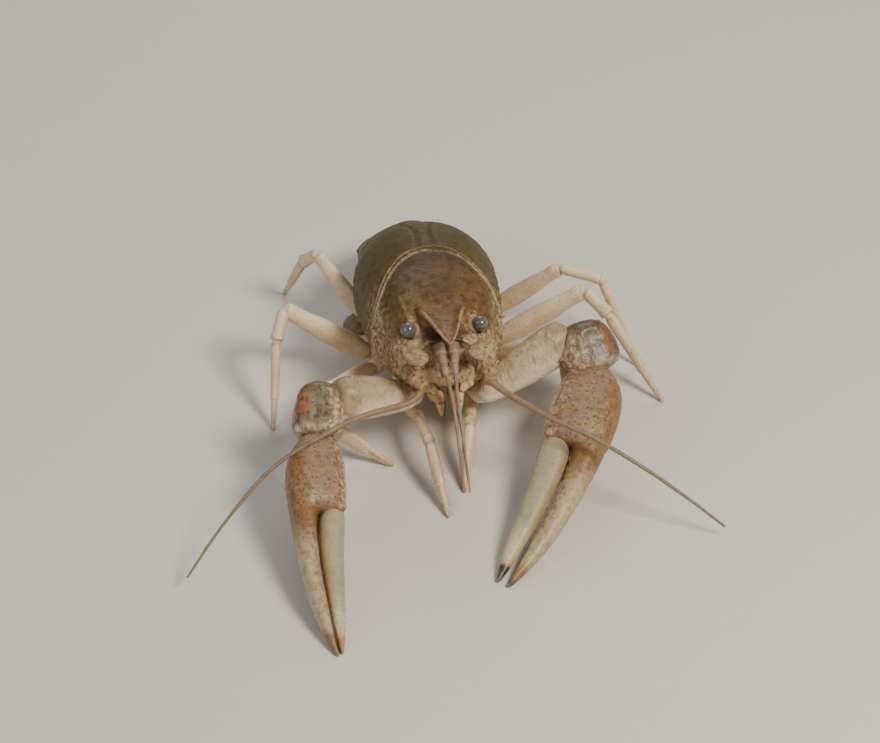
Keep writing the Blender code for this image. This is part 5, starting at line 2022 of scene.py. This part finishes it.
        # the orange-brown outer edge, the cleft, the finger's root and cutting edge, and the tip
        cleft = hill(share - 0.42, 0.1) * rise(across, -5.6, -3.4)
        root = 0.85 * rise(share, 0.33, 0.38) * rise(share, 0.62, 0.42) * rise(across, -6.6, -4.6)
        warm = 0.85 * rise(across, -3.0, -5.6) * rise(share, 0.54, 0.34)
        warm += (cleft + root) * rise(share, 0.33, 0.37) + 0.12 * rise(share, 0.4, 0.6)
        warm += 0.9 * rise(share, 0.42, 0.48) * rise(across, -4.5, -3.0) * rise(share, 0.95, 0.6)
        warm += 1.3 * rise(share, 0.88, 0.95) + 0.8 * hill(share - 0.325, 0.014) * hill(across - 1.6, 1.6)
        # a yellow-green line along the fixed finger and a tinge at the palm's foot
        green = 0.6 * hill(across + 2.4 + 1.2 * rise(share, 0.8, 1.0), 0.45) * rise(share, 0.40, 0.5)
        green += 0.45 * hill(share - 0.3, 0.08) * rise(across, 0.5, -2.5)
        # the red-brown spot in the cleft and, on the left claw, a dark tip
        dark = 0.7 * hill(share - 0.43, 0.02) * hill(across + 2.4, 0.8) * rise(up, 0.0, 1.0)
        dark += 0.3 * hill(share - 0.40, 0.06) * hill(across + 1.8, 1.1)
        dark += (0.15 if self.side is Side.RIGHT else 1.0) * rise(share, 0.955, 0.98)
        painted(
            self.palm_piece, pale=pale, warm=warm, cool=0.9 * rise(share, 0.36, 0.6), green=green,
            dark=dark, freckled=rise(share, 0.4, 0.33) * (0.1 + 0.55 * rise(across, 0.5, 4.0)),
            dotted=0.15 + 0.85 * rise(share, 0.5, 0.34), **self.dot_layout(share, across, up)
        )
        self.wardrobe.dress(self.palm_piece, "palm_shell", [f"palm_{self.side.word}"])

    def dress_moving_finger(self) -> None:
        """Paints the moving finger: a pale ridge, a bluish green middle and an orange or dark tip."""
        share, across, up = self.claw_numbers(places_of(self.finger_piece))
        pale = 0.5 * hill(across - 1.1, 0.7) * rise(up, 0.3, 1.1) * rise(share, 0.9, 0.8)
        pale += 1.2 * hill(share - 0.358, 0.016) * rise(up, 0.4, 1.4)
        pale += 0.45 * rise(share, 0.7, 0.86) * rise(share, 0.95, 0.9)
        edge = 0.3 * rise(across, 0.2, -1.0) * rise(share, 0.36, 0.42)
        painted(
            self.finger_piece, pale=pale, warm=edge + 1.3 * rise(share, 0.87, 0.94),
            cool=0.85 * rise(share, 0.36, 0.42) * rise(share, 0.9, 0.7),
            green=0.6 * hill(across + 0.6, 0.5) * rise(share, 0.38, 0.5),
            dark=rise(share, *((0.965, 0.99) if self.side is Side.RIGHT else (0.905, 0.93))), dotted=0.5,
            **self.dot_layout(share, across, up)
        )
        self.wardrobe.dress(self.finger_piece, "finger_shell", [f"claw_finger_{self.side.word}"])

    def dress_wrist(self) -> None:
        """Paints the wrist: a grey-green back, an orange patch, cream knobs and a white front rim."""
        right = self.side is Side.RIGHT
        axis = np.array((self.wrist - self.heel).normalized())
        outward = np.cross(axis, (0.0, 0.0, 1.0))
        outward *= np.sign(outward[0]) * self.side.value / np.linalg.norm(outward)
        upward = np.cross(outward, axis)
        upward *= np.sign(upward[2])
        places = places_of(self.wrist_piece)
        offset = places - np.array(self.heel.lerp(self.wrist, 0.5))
        along, aside, up = offset @ axis, offset @ outward, offset @ upward
        gaps = np.stack([np.linalg.norm(places - np.array(knob), axis=1) for knob in self.knob_places])
        rim = 0.85 * hill(along - self.wrist_reach, 0.55) * rise(aside, -3.0, -1.0)
        patch = hill(along + 0.3, 2.7) * hill(aside - 2.6, 1.05) * rise(up, 0.0, 1.2)
        heel = (0.35 if right else 0.5) * rise(along, -1.2, -3.6)
        painted(
            self.wrist_piece,
            warm=1.25 * patch + 0.3 * rise(aside, -1.0, -3.0) + 0.25 * rise(along, -1.0, -4.0),
            cool=0.95 * rise(up, 0.0, 2.4) * hill(aside - 0.3, 1.7) * rise(along, -3.4, -1.4),
            green=0.4 * rise(along, -0.5, -3.0),
            dark=heel + 0.3 * rise(aside, 3.4, 4.6) + (0.0 if right else 0.22),
            pale=0.25 * rise(aside, -1.4, -3.2) + rim + 0.8 * rise(gaps.min(0), 0.7, 0.4),
            freckled=0.1 + 0.35 * rise(aside, 0.0, -2.5), dotted=0.7
        )
        self.wardrobe.dress(self.wrist_piece, "palm_shell", [f"wrist_{self.side.word}"], "wrist_shell")

    def dress_arm(self) -> None:
        """Paints the arm: amber below, darkened there as painted shade, and at its joints; a pale band on its
        lower front, lightened as painted light; grey-green above and near the wrist.
        """
        places = places_of(self.arm_piece)
        elbow, knee = np.array(self.elbow), np.array(self.knee)
        axis = (elbow - knee) / np.linalg.norm(elbow - knee)
        short = (elbow - places) @ axis
        up = places[:, 2] - (elbow[2] - short * axis[2])
        near = hill(np.linalg.norm(places - knee, axis=1), 2.4)
        # the underside near the elbow is amber, its own colour darkened as painted shade
        below = rise(up, -1.9, -2.8) * rise(short, 10.0, 5.0)
        # the pale band along the lower front is the arm's cream lightened as painted light
        painted(
            self.arm_piece, warm=0.2 * rise(short, 3.0, 0.5) + 0.4 * near + below,
            cool=0.5 * rise(short, 4.5, 1.5) + 0.6 * rise(up, 1.0, 2.6),
            pale=1.1 * hill(up + 0.9, 1.8) * rise(short, 1.0, 4.0), dotted=0.2 + 0.8 * rise(up, 0.6, 1.8)
        )
        self.wardrobe.dress(self.arm_piece, "arm_shell", [f"arm_{self.side.word}"])


# Walking legs


@dataclass
class WalkingLeg:
    """One walking leg, from its root in the shell to its foot on the floor."""

    wardrobe: Wardrobe
    name: str
    joints: Sequence[Vector]
    size: float = 1.0
    pincer: bool = False

    root_profile: Stations = (
        (0.0, 1.3, 1.3), (0.4, 1.6, 1.5), (0.85, 1.75, 1.6), (1.0, 1.6, 1.5), (1.1, 0.9, 0.9)
    )
    lower_profile: Stations = (
        (-0.12, 0.9, 0.9), (0.05, 1.6, 1.45), (0.5, 1.62, 1.45), (0.9, 1.45, 1.25), (1.02, 0.8, 0.75)
    )
    thigh_profile: Stations = (
        (-0.02, 0.8, 0.7), (0.03, 1.35, 1.1), (0.25, 1.86, 1.25), (0.55, 1.76, 1.15), (0.85, 1.34, 1.0),
        (0.95, 1.42, 1.1), (1.0, 1.02, 0.86), (1.01, 0.6, 0.5)
    )
    shin_profile: Stations = (
        (-0.02, 0.6, 0.55), (0.05, 0.95, 0.8), (0.12, 1.12, 0.92), (0.4, 1.16, 0.95), (0.8, 1.2, 0.96),
        (0.92, 1.34, 1.05), (0.98, 1.16, 0.95), (1.02, 0.6, 0.55)
    )
    foot_profile: Stations = (
        (-0.02, 0.5, 0.5), (0.04, 0.9, 0.76), (0.14, 0.98, 0.8), (0.4, 0.84, 0.68), (0.58, 0.8, 0.65),
        (0.63, 0.84, 0.68), (0.655, 0.7, 0.56), (0.665, 0.4, 0.35)
    )
    nail_profile: Stations = (
        (0.62, 0.35, 0.3), (0.65, 0.62, 0.5), (0.8, 0.52, 0.44), (0.92, 0.38, 0.36), (0.985, 0.3, 0.3),
        (1.0, 0.16, 0.16)
    )
    hand_profile: Stations = (
        (-0.02, 0.6, 0.5), (0.05, 1.15, 0.95), (0.3, 1.42, 1.02), (0.5, 1.4, 0.98), (0.58, 1.1, 0.8),
        (0.6, 0.7, 0.5)
    )
    finger_profile: Stations = (
        (0.5, 0.5, 0.5), (0.58, 0.62, 0.62), (0.8, 0.46, 0.46), (0.95, 0.3, 0.3), (1.0, 0.14, 0.14)
    )

    def scaled(self, profile: Stations) -> list[tuple[float, float, float]]:
        """A profile at this leg's own size."""
        return [(at, wide * self.size, deep * self.size) for at, wide, deep in profile]

    def build(self) -> None:
        """Makes the thigh piece and the shin piece."""
        root, hip, mid, knee, ankle, foot = self.joints
        thigh = [
            Segment(root, hip, self.scaled(self.root_profile), sides=24, steps=16).build("coxa"),
            Segment(hip, mid, self.scaled(self.lower_profile), sides=24, steps=18).build("lower"),
            Segment(mid, knee, self.scaled(self.thigh_profile), sides=28, steps=40).build("upper")
        ]
        self.thigh = joined(f"{self.name}_upper", thigh)
        axis = foot - ankle
        level = axis.cross(UPRIGHT)
        side = level.cross(axis).normalized()
        shin = [Segment(knee, ankle, self.scaled(self.shin_profile), side, 26, 26).build("shin")]
        if self.pincer:
            aside = side * 0.55 * self.size
            shin.append(Segment(ankle, foot, self.scaled(self.hand_profile), side, 28, 26).build("hand"))
            for sign in (1, -1):
                finger = Segment(
                    ankle + aside * sign, foot + side * 0.12 * sign, self.scaled(self.finger_profile), side,
                    18, 26, bow=side * 0.16 * sign
                )
                shin.append(finger.build("finger"))
        else:
            shin.append(Segment(ankle, foot, self.scaled(self.foot_profile), side, 24, 26).build("foot"))
            nail = Segment(ankle, foot, self.scaled(self.nail_profile), side, 20, 20, bow=-side * 0.1)
            shin.append(nail.build("nail"))
        self.shin = joined(f"{self.name}_lower", shin)
        for piece in (self.thigh, self.shin):
            raised(piece, lambda p: 0.03 * unevenness(p, 1.4))
            on_floor(piece)
        hairs = []
        deep = axis.normalized().cross(side)
        for k in range(54):
            share = 0.35 + 0.6 * (k % 18) / 17
            turn = (k // 18) * 2.1 + 0.35 * (k % 3)
            lean = side * cos(turn) + deep * sin(turn)
            width = blend(
                self.scaled(self.hand_profile if self.pincer else self.foot_profile), min(share, 0.56)
            )[0]
            thin = width * (1.0 if share < 0.6 else 0.62) * 0.85
            place = ankle.lerp(foot, share) + lean * thin
            hairs.append(spot(place, lean * 0.7 + axis.normalized(), 0.035, 0.75))
        self.hairs = scattered(f"{self.name}_hairs", bristle_template(), hairs)
        on_floor(self.hairs)

    def dress(self) -> None:
        """Paints the leg pale, paler high up and on its upper side as painted light, greyer below and near
        the floor as painted shade, amber at its joints and darker at its foot.
        """
        joints = [np.array(joint) for joint in self.joints]
        root, knee = joints[2], joints[3]
        for piece, part in ((self.thigh, "thigh"), (self.shin, "shin")):
            places = places_of(piece)
            z = places[:, 2]
            share = np.clip((places - root) @ (knee - root) / ((knee - root) @ (knee - root)), 0.0, 1.0)
            below = root[2] + share * (knee[2] - root[2]) - z
            gaps = np.stack([np.linalg.norm(places - joint, axis=1) for joint in joints[1:5]])
            seam = 0.5 * hill(gaps.min(0) - self.size, 0.16)
            # painted light: paler high up and on the upper side; painted shade: greyer on the underside and
            # near the floor
            painted(
                piece, warm=0.6 * hill(gaps[1:].min(0), 1.0) + 0.6 * rise(z, 2.4, 0.2),
                pale=0.45 * rise(z, 7.0, 14.0) + 0.5 * rise(below, 0.3, -0.9),
                cool=0.25 * rise(below, 0.4, 1.4) + 0.15 * rise(z, 6.0, 3.0),
                dark=seam + 0.5 * rise(z, 0.8, 0.1), dotted=0.6
            )
            self.wardrobe.dress(piece, "leg_shell", [f"{self.name}_{part}"])
        painted(self.hairs, pale=0.5)
        self.wardrobe.dress(self.hairs, "leg_shell", [], "bristles")


# Belly and tail


@dataclass
class BreastPlate:
    """The keeled plate between the legs."""

    wardrobe: Wardrobe
    half_width: float = 3.1
    depth: float = 1.7
    stations: Stations = (
        (-3.2, 0.45, 0.5), (-1.5, 0.75, 0.9), (4.0, 0.85, 1.0), (10.0, 1.0, 1.0), (16.0, 1.0, 0.95),
        (19.5, 0.8, 0.75), (21.5, 0.5, 0.4)
    )

    def build(self) -> None:
        """Makes the plate, pinched between each pair of legs."""
        rings = []
        for step in range(80):
            y = -3.2 + 24.7 * step / 79
            wide, deep = blend(self.stations, y)
            pinch = 1.0 - 0.14 * abs(sin(pi * (y + 3.2) / 4.1)) ** 4
            half, depth = self.half_width * wide * pinch, self.depth * deep * (0.9 + 0.1 * pinch)
            lift = blend(SHELL.stations, y)[2] + 0.2
            ring = []
            for k in range(32):
                turn = 2 * pi * k / 32
                x, up = cos(turn), sin(turn)
                drop = (depth + 0.5) * (0.8 + 0.2 * np.exp(-((x / 0.25) ** 2)))
                z = lift + (0.1 * up if up > 0 else drop * signed_power(up, 0.6))
                ring.append(body_to_stance((half * signed_power(x, 0.8), y, z)))
            rings.append(ring)
        self.plate = ring_body("breast_plate", rings)

    def dress(self) -> None:
        """Paints the plate."""
        painted(self.plate, dotted=0.4)
        self.wardrobe.dress(self.plate, "underside", ["sternum"])


@dataclass
class Tail:
    """The tail, which curls down behind the shell and forward under itself, with its fan."""

    wardrobe: Wardrobe
    start: Vector = field(default_factory=lambda: Vector((0.0, 26.05, 16.65)))
    start_angle: float = 17.0
    rings_of_tail: tuple = (
        # length along the back, turn of the back in degrees, half width, depth, flap length
        (3.1, 12.0, 8.8, 8.4, 0.0),
        (5.6, 14.0, 9.6, 7.2, 3.0),
        (4.5, 36.0, 9.5, 5.3, 1.5),
        (4.1, 36.0, 9.1, 4.9, 1.2),
        (4.1, 36.0, 8.5, 4.8, 1.1),
        (5.2, 30.0, 7.6, 4.6, 1.0),
    )
    blades: tuple = (
        # name, place of its root across the tail, spread in degrees, length, half width
        ("telson", 0.0, 0.0, 9.2, 3.3),
        ("tail_blade_inner", 3.3, 20.0, 9.6, 2.5),
        ("tail_blade_outer", 5.6, 44.0, 9.8, 2.6),
    )
    blade_outline: Stations = ((0.0, 0.62), (0.2, 0.85), (0.5, 1.0), (0.8, 0.98), (0.94, 0.75), (1.0, 0.35))

    def outline(
        self, place: Vector, angle: float, half: float, depth: float, flap: float, shrink: float
    ) -> Ring:
        """A ring across the tail: a domed back, side flaps and a flat belly between them.

        Args:
            place: The middle of the back.
            angle: The back's slope.
            half: The half width.
            depth: The distance from the back to the belly.
            flap: How far the side flaps hang.
            shrink: How far inside the full form the ring lies.

        Returns:
            The ring in the stance frame.
        """
        back = Vector((0, cos(pi / 2 - angle), sin(pi / 2 - angle)))
        half, inner = half - shrink, half - shrink - 1.3
        rows = [(0.0, shrink)]
        drops = (0.12, 0.34, 0.62, 0.9, 1.0)
        rows += [(half * w, shrink + depth * d * 0.75) for w, d in zip((0.32, 0.62, 0.86, 0.98, 1.0), drops)]
        rows += [
            (half * 0.97, depth * 0.85 + flap * 0.6), (half * 0.92, depth * 0.85 + flap),
            (inner, depth * 0.85 + flap * 0.9), (inner * 0.93, depth * 0.9)
        ]
        loop = rows + [(0.0, depth)] + [(-x, d) for x, d in reversed(rows[1:])]
        loop = curve_through([Vector((x, d, 0.0)) for x, d in loop], 4, closed=True)
        return [place + Vector((p.x, 0, 0)) - back * p.y for p in loop]

    def build(self) -> None:
        """Makes the six rings and the five plates of the fan."""
        place, angle = self.start.copy(), radians(self.start_angle)
        self.made = []
        steps = 24
        hangs = (
            (0.0, 0.25, 0.55), (0.25, 0.85, 0.3), (0.5, 1.0, 0.12), (0.75, 0.75, 0.02), (1.0, 0.2, -0.08)
        )
        for number, (length, turn, half, depth, flap) in enumerate(self.rings_of_tail, 1):
            rings = []
            for step in range(steps + 1):
                share = step / steps
                hang, shrink = blend(hangs, share)
                groove = 0.16 * np.exp(-(((share - 0.42) / 0.07) ** 2))
                rim = 0.25 * rise_of(share, 0.94, 1.0)
                forward = Vector((0, cos(angle), -sin(angle)))
                nudge = forward * (0.1 if step == 0 else 0.0)
                deep = depth * (1.0 - (0.5 * rise_of(share, 0.55, 1.0) if number == 6 else 0.0))
                rings.append(
                    self.outline(place + nudge, angle, half, deep, flap * hang, shrink + groove + rim)
                )
                if step < steps:
                    angle += radians(turn) / steps / 2
                    place = place + Vector((0, cos(angle), -sin(angle))) * length / steps
                    angle += radians(turn) / steps / 2
            if number < 6:
                forward = Vector((0, cos(angle), -sin(angle)))
                lip = self.outline(place + forward * 0.45, angle, half, depth * 0.96, 0.1, 0.3)
                rings.append(lip)
            piece = ring_body(f"tail_ring_{number}", rings)
            raised(piece, lambda p: 0.04 * unevenness(p, 1.8))
            on_floor(piece)
            self.made.append((piece, [f"pleonite_{number}"]))
        self.fan_y = place.y
        self.build_fan()

    def build_fan(self) -> None:
        """Makes the fan, which lies on the floor with its free edge forward."""
        hairs = []
        for side in Side:
            for name, offset, spread, length, half in self.blades:
                if name == "telson" and side is Side.RIGHT:
                    continue
                turn = radians(spread)
                direction = Vector((side.value * sin(turn), -cos(turn), 0))
                across = Vector((-direction.y, direction.x, 0))
                setback = 0.3 + half * self.blade_outline[0][1] * sin(turn)
                root = Vector((side.value * offset, self.fan_y - setback, 0.0))
                rings = []
                for step in range(41):
                    share = step / 40
                    wide = blend(self.blade_outline, share)[0] * half
                    middle = root + direction * length * share
                    top = 1.2 * (1.0 - 0.5 * share) * (0.82 if step in (0, 40) else 1.0)
                    ring = []
                    for k in range(36):
                        angle = 2 * pi * k / 36
                        x = cos(angle)
                        rib = 0.12 * np.exp(-((x / 0.1) ** 2)) - 0.08 * np.exp(
                            -(((abs(x) - 0.4) / 0.12) ** 2)
                        )
                        seam = -0.12 * np.exp(-(((share - 0.62) / 0.02) ** 2))
                        z = top * (max(sin(angle), 0.0) ** 0.5 * (0.85 + rib + seam))
                        ring.append(middle + across * wide * signed_power(x, 0.9) + Vector((0, 0, z)))
                    rings.append(ring)
                label = name if name == "telson" else f"{name}_{side.word}"
                piece = ring_body(f"fan_{label}", rings)
                self.made.append((piece, [label]))
                for k in range(34):
                    fan = -1.0 + 2.0 * k / 33
                    share = 0.97 - 0.3 * abs(fan) ** 3
                    wide = blend(self.blade_outline, share)[0] * half
                    foot = root + direction * length * share + across * wide * fan + Vector((0, 0, 0.3))
                    aim = direction + across * fan * 0.8
                    hairs.append(spot(foot, aim, 0.06, 1.1))
        self.hairs = scattered("fan_hairs", bristle_template(), hairs)
        on_floor(self.hairs)

    def dress(self) -> None:
        """Paints the tail with darker bands and paler edges."""
        for piece, nodes in self.made:
            x, y, _ = places_of(piece).T
            wide = np.abs(x)
            if nodes[0].startswith("pleonite"):
                warm = 0.4 * hill(wide - 6.0, 1.6)
                cool = 0.5 * rise(wide, 5.0, 1.0)
                painted(piece, pale=0.45 * rise(wide, 7.0, 9.4), cool=cool, warm=warm, dotted=0.8)
            else:
                painted(piece, pale=0.25, warm=0.5 * rise(y, 24.0, 18.0), dotted=0.7)
            self.wardrobe.dress(piece, "tail_shell", nodes)
        painted(self.hairs, pale=0.5)
        self.wardrobe.dress(self.hairs, "tail_shell", [], "bristles")


# Studio


@dataclass
class Studio:
    """The pale floor, the soft lights and the camera at the photograph's angle."""

    back: Vector = field(default_factory=lambda: Vector((-0.106611, -0.758577, 0.642788)))
    camera_place: Vector = field(default_factory=lambda: Vector((-87.508, -628.412, 537.831)))
    lens: float = 198.35
    floor_colour: Colour = (0.72, 0.69, 0.64)
    sky_colour: Colour = (0.86, 0.90, 0.96)
    sky_strength: float = 0.2

    def build(self) -> None:
        """Makes the floor, the lights and the camera."""
        deselect_all()
        bpy.ops.mesh.primitive_plane_add(size=6.0, location=(0.0, 0.0, -0.00002))
        floor = bpy.context.object
        floor.name = "floor"
        bpy.ops.object.transform_apply(location=True)
        floor.data.materials.append(self.floor_material())
        self.light("key", Vector((230.0, -260.0, 420.0)), 150.0, 2.75, (1.0, 0.93, 0.79))
        self.light("fill", Vector((-420.0, -200.0, 260.0)), 380.0, 0.75, (1.0, 0.985, 0.95))
        self.light("rim", Vector((60.0, 420.0, 330.0)), 240.0, 0.7, (1.0, 0.98, 0.95))
        world = bpy.data.worlds.new("studio")
        bpy.context.scene.world = world
        world.use_nodes = True
        sky = world.node_tree.nodes["Background"]
        sky.inputs["Color"].default_value = (*self.sky_colour, 1.0)
        sky.inputs["Strength"].default_value = self.sky_strength
        self.camera()

    def floor_material(self) -> bpy.types.Material:
        """A plain pale floor, barely uneven in tone."""
        made, wire, shader = new_material("floor", Roughness=0.75)
        cloud = wire.add("ShaderNodeTexNoise")
        cloud.inputs["Scale"].default_value = 6.0
        coordinates = wire.add("ShaderNodeTexCoord")
        wire.put(coordinates.outputs["Object"], cloud.inputs["Vector"])
        darker = tuple(0.97 * part for part in self.floor_colour)
        wire.put(wire.mix(cloud.outputs["Fac"], self.floor_colour, darker), shader.inputs["Base Color"])
        return made

    def light(self, name: str, place: Vector, size: float, power: float, colour: Colour) -> None:
        """Adds a square light that faces the animal.

        Args:
            name: The light's name.
            place: Where it hangs, in the stance frame.
            size: Its width in millimetres.
            power: Its power in watts.
            colour: Its colour.
        """
        lamp = bpy.data.lights.new(name, "AREA")
        lamp.size = size * MM
        lamp.energy = power
        lamp.color = colour
        made = bpy.data.objects.new(name, lamp)
        made.location = in_frame(place)
        aim = in_frame(Vector((0.0, -8.0, 8.0))) - made.location
        made.rotation_euler = aim.to_track_quat("-Z", "Y").to_euler()
        bpy.context.scene.collection.objects.link(made)

    def camera(self) -> None:
        """Adds the camera."""
        lens = bpy.data.cameras.new("camera")
        lens.lens = self.lens
        lens.sensor_width = 36.0
        lens.sensor_fit = "HORIZONTAL"
        lens.clip_start = 0.01
        lens.clip_end = 20.0
        made = bpy.data.objects.new("camera", lens)
        back = self.back.normalized()
        right = UPRIGHT.cross(back).normalized()
        up = back.cross(right)
        turned = Matrix((right, up, back)).transposed().to_4x4()
        made.matrix_world = Matrix.Translation(in_frame(self.camera_place)) @ turned
        bpy.context.scene.collection.objects.link(made)
        bpy.context.scene.camera = made


CLAW_ARMS = {
    Side.RIGHT: {
        "root": Vector((-4.2, 0.5, 11.0)), "hip": Vector((-4.9, -4.5, 8.4)),
        "knee": Vector((-5.6, -12.6, 11.2)), "elbow": Vector((-18.3, -16.0, 15.0)),
        "heel": Vector((-21.3, -14.8, 16.0)), "wrist": Vector((-23.0, -23.2, 12.6)),
        "tip": Vector((-24.3, -62.4, 0.15)), "width": 0.85, "gape": -0.5, "roll": -12.0
    },
    Side.LEFT: {
        "root": Vector((4.2, 0.5, 11.0)), "hip": Vector((4.9, -4.5, 8.4)),
        "knee": Vector((6.2, -13.6, 11.2)), "elbow": Vector((20.4, -7.6, 16.3)),
        "heel": Vector((23.5, -6.2, 17.9)), "wrist": Vector((25.5, -12.4, 12.8)),
        "tip": Vector((4.6, -49.8, 0.15)), "width": 1.0, "gape": 0.35, "roll": 8.0
    }
}
LEG_SIZE = {"4": 1.12, "5": 0.94}
LEG_JOINTS = {
    # root in the shell, hip, end of the short lower joint, knee, end of the wrist joint, foot
    "leg_2_right": (
        (-4.4, 4.6, 9.0), (-5.6, 2.6, 5.0), (-6.3, -3.6, 4.2), (-4.7, -13.0, 6.6), (-3.7, -19.6, 6.7),
        (-2.2, -31.6, 0.0),
    ),
    "leg_2_left": (
        (4.4, 4.6, 9.0), (5.6, 2.6, 5.0), (6.3, -3.0, 4.2), (4.5, -11.2, 6.4), (3.6, -16.6, 7.4),
        (1.3, -25.6, 0.0),
    ),
    "leg_3_right": (
        (-4.6, 8.4, 8.0), (-6.4, 6.9, 4.4), (-10.6, 3.2, 4.6), (-19.6, -7.0, 9.4), (-19.4, -13.0, 6.4),
        (-9.6, -17.2, 0.0),
    ),
    "leg_3_left": (
        (4.6, 8.4, 8.0), (6.4, 6.9, 4.4), (11.2, 3.4, 5.2), (21.2, -4.4, 11.6), (21.2, -10.4, 7.6),
        (18.6, -19.2, 0.0),
    ),
    "leg_4_right": (
        (-4.6, 12.6, 7.0), (-6.4, 11.2, 3.8), (-10.6, 8.7, 3.7), (-24.9, 8.0, 15.5), (-26.7, 4.2, 11.9),
        (-28.6, -5.3, 0.0),
    ),
    "leg_4_left": (
        (4.6, 12.6, 7.0), (6.4, 11.2, 3.8), (12.4, 9.2, 3.9), (26.6, 6.0, 15.5), (30.2, 2.4, 12.6),
        (38.3, -7.0, 0.0),
    ),
    "leg_5_right": (
        (-4.4, 16.8, 6.0), (-6.0, 15.8, 3.3), (-10.0, 18.8, 4.0), (-17.5, 22.8, 15.0),
        (-19.6, 26.0, 11.0), (-22.6, 31.0, 0.0),
    ),
    "leg_5_left": (
        (4.4, 16.8, 6.0), (6.0, 15.8, 3.3), (13.0, 17.2, 4.2), (23.4, 13.1, 15.0), (30.2, 9.7, 14.5),
        (35.6, 3.0, 0.0),
    ),
}


def main() -> None:
    """Builds and dresses each sub-assembly in order."""
    wardrobe = Wardrobe()
    shields = Shields(wardrobe)
    assemblies = [shields, Eyes(wardrobe, shields), Feelers(wardrobe), FootJaws(wardrobe)]
    assemblies += [ClawArm(wardrobe, side, **sizes) for side, sizes in CLAW_ARMS.items()]
    for name, joints in LEG_JOINTS.items():
        size = LEG_SIZE.get(name[4], 1.0)
        places = [Vector(joint) for joint in joints]
        assemblies.append(WalkingLeg(wardrobe, name, places, size, name[4] in "23"))
    assemblies += [BreastPlate(wardrobe), Tail(wardrobe)]
    for assembly in assemblies:
        assembly.build()
        assembly.dress()
        LOG.info("%s done", type(assembly).__name__)
    Studio().build()


if __name__ == "__main__":
    main()
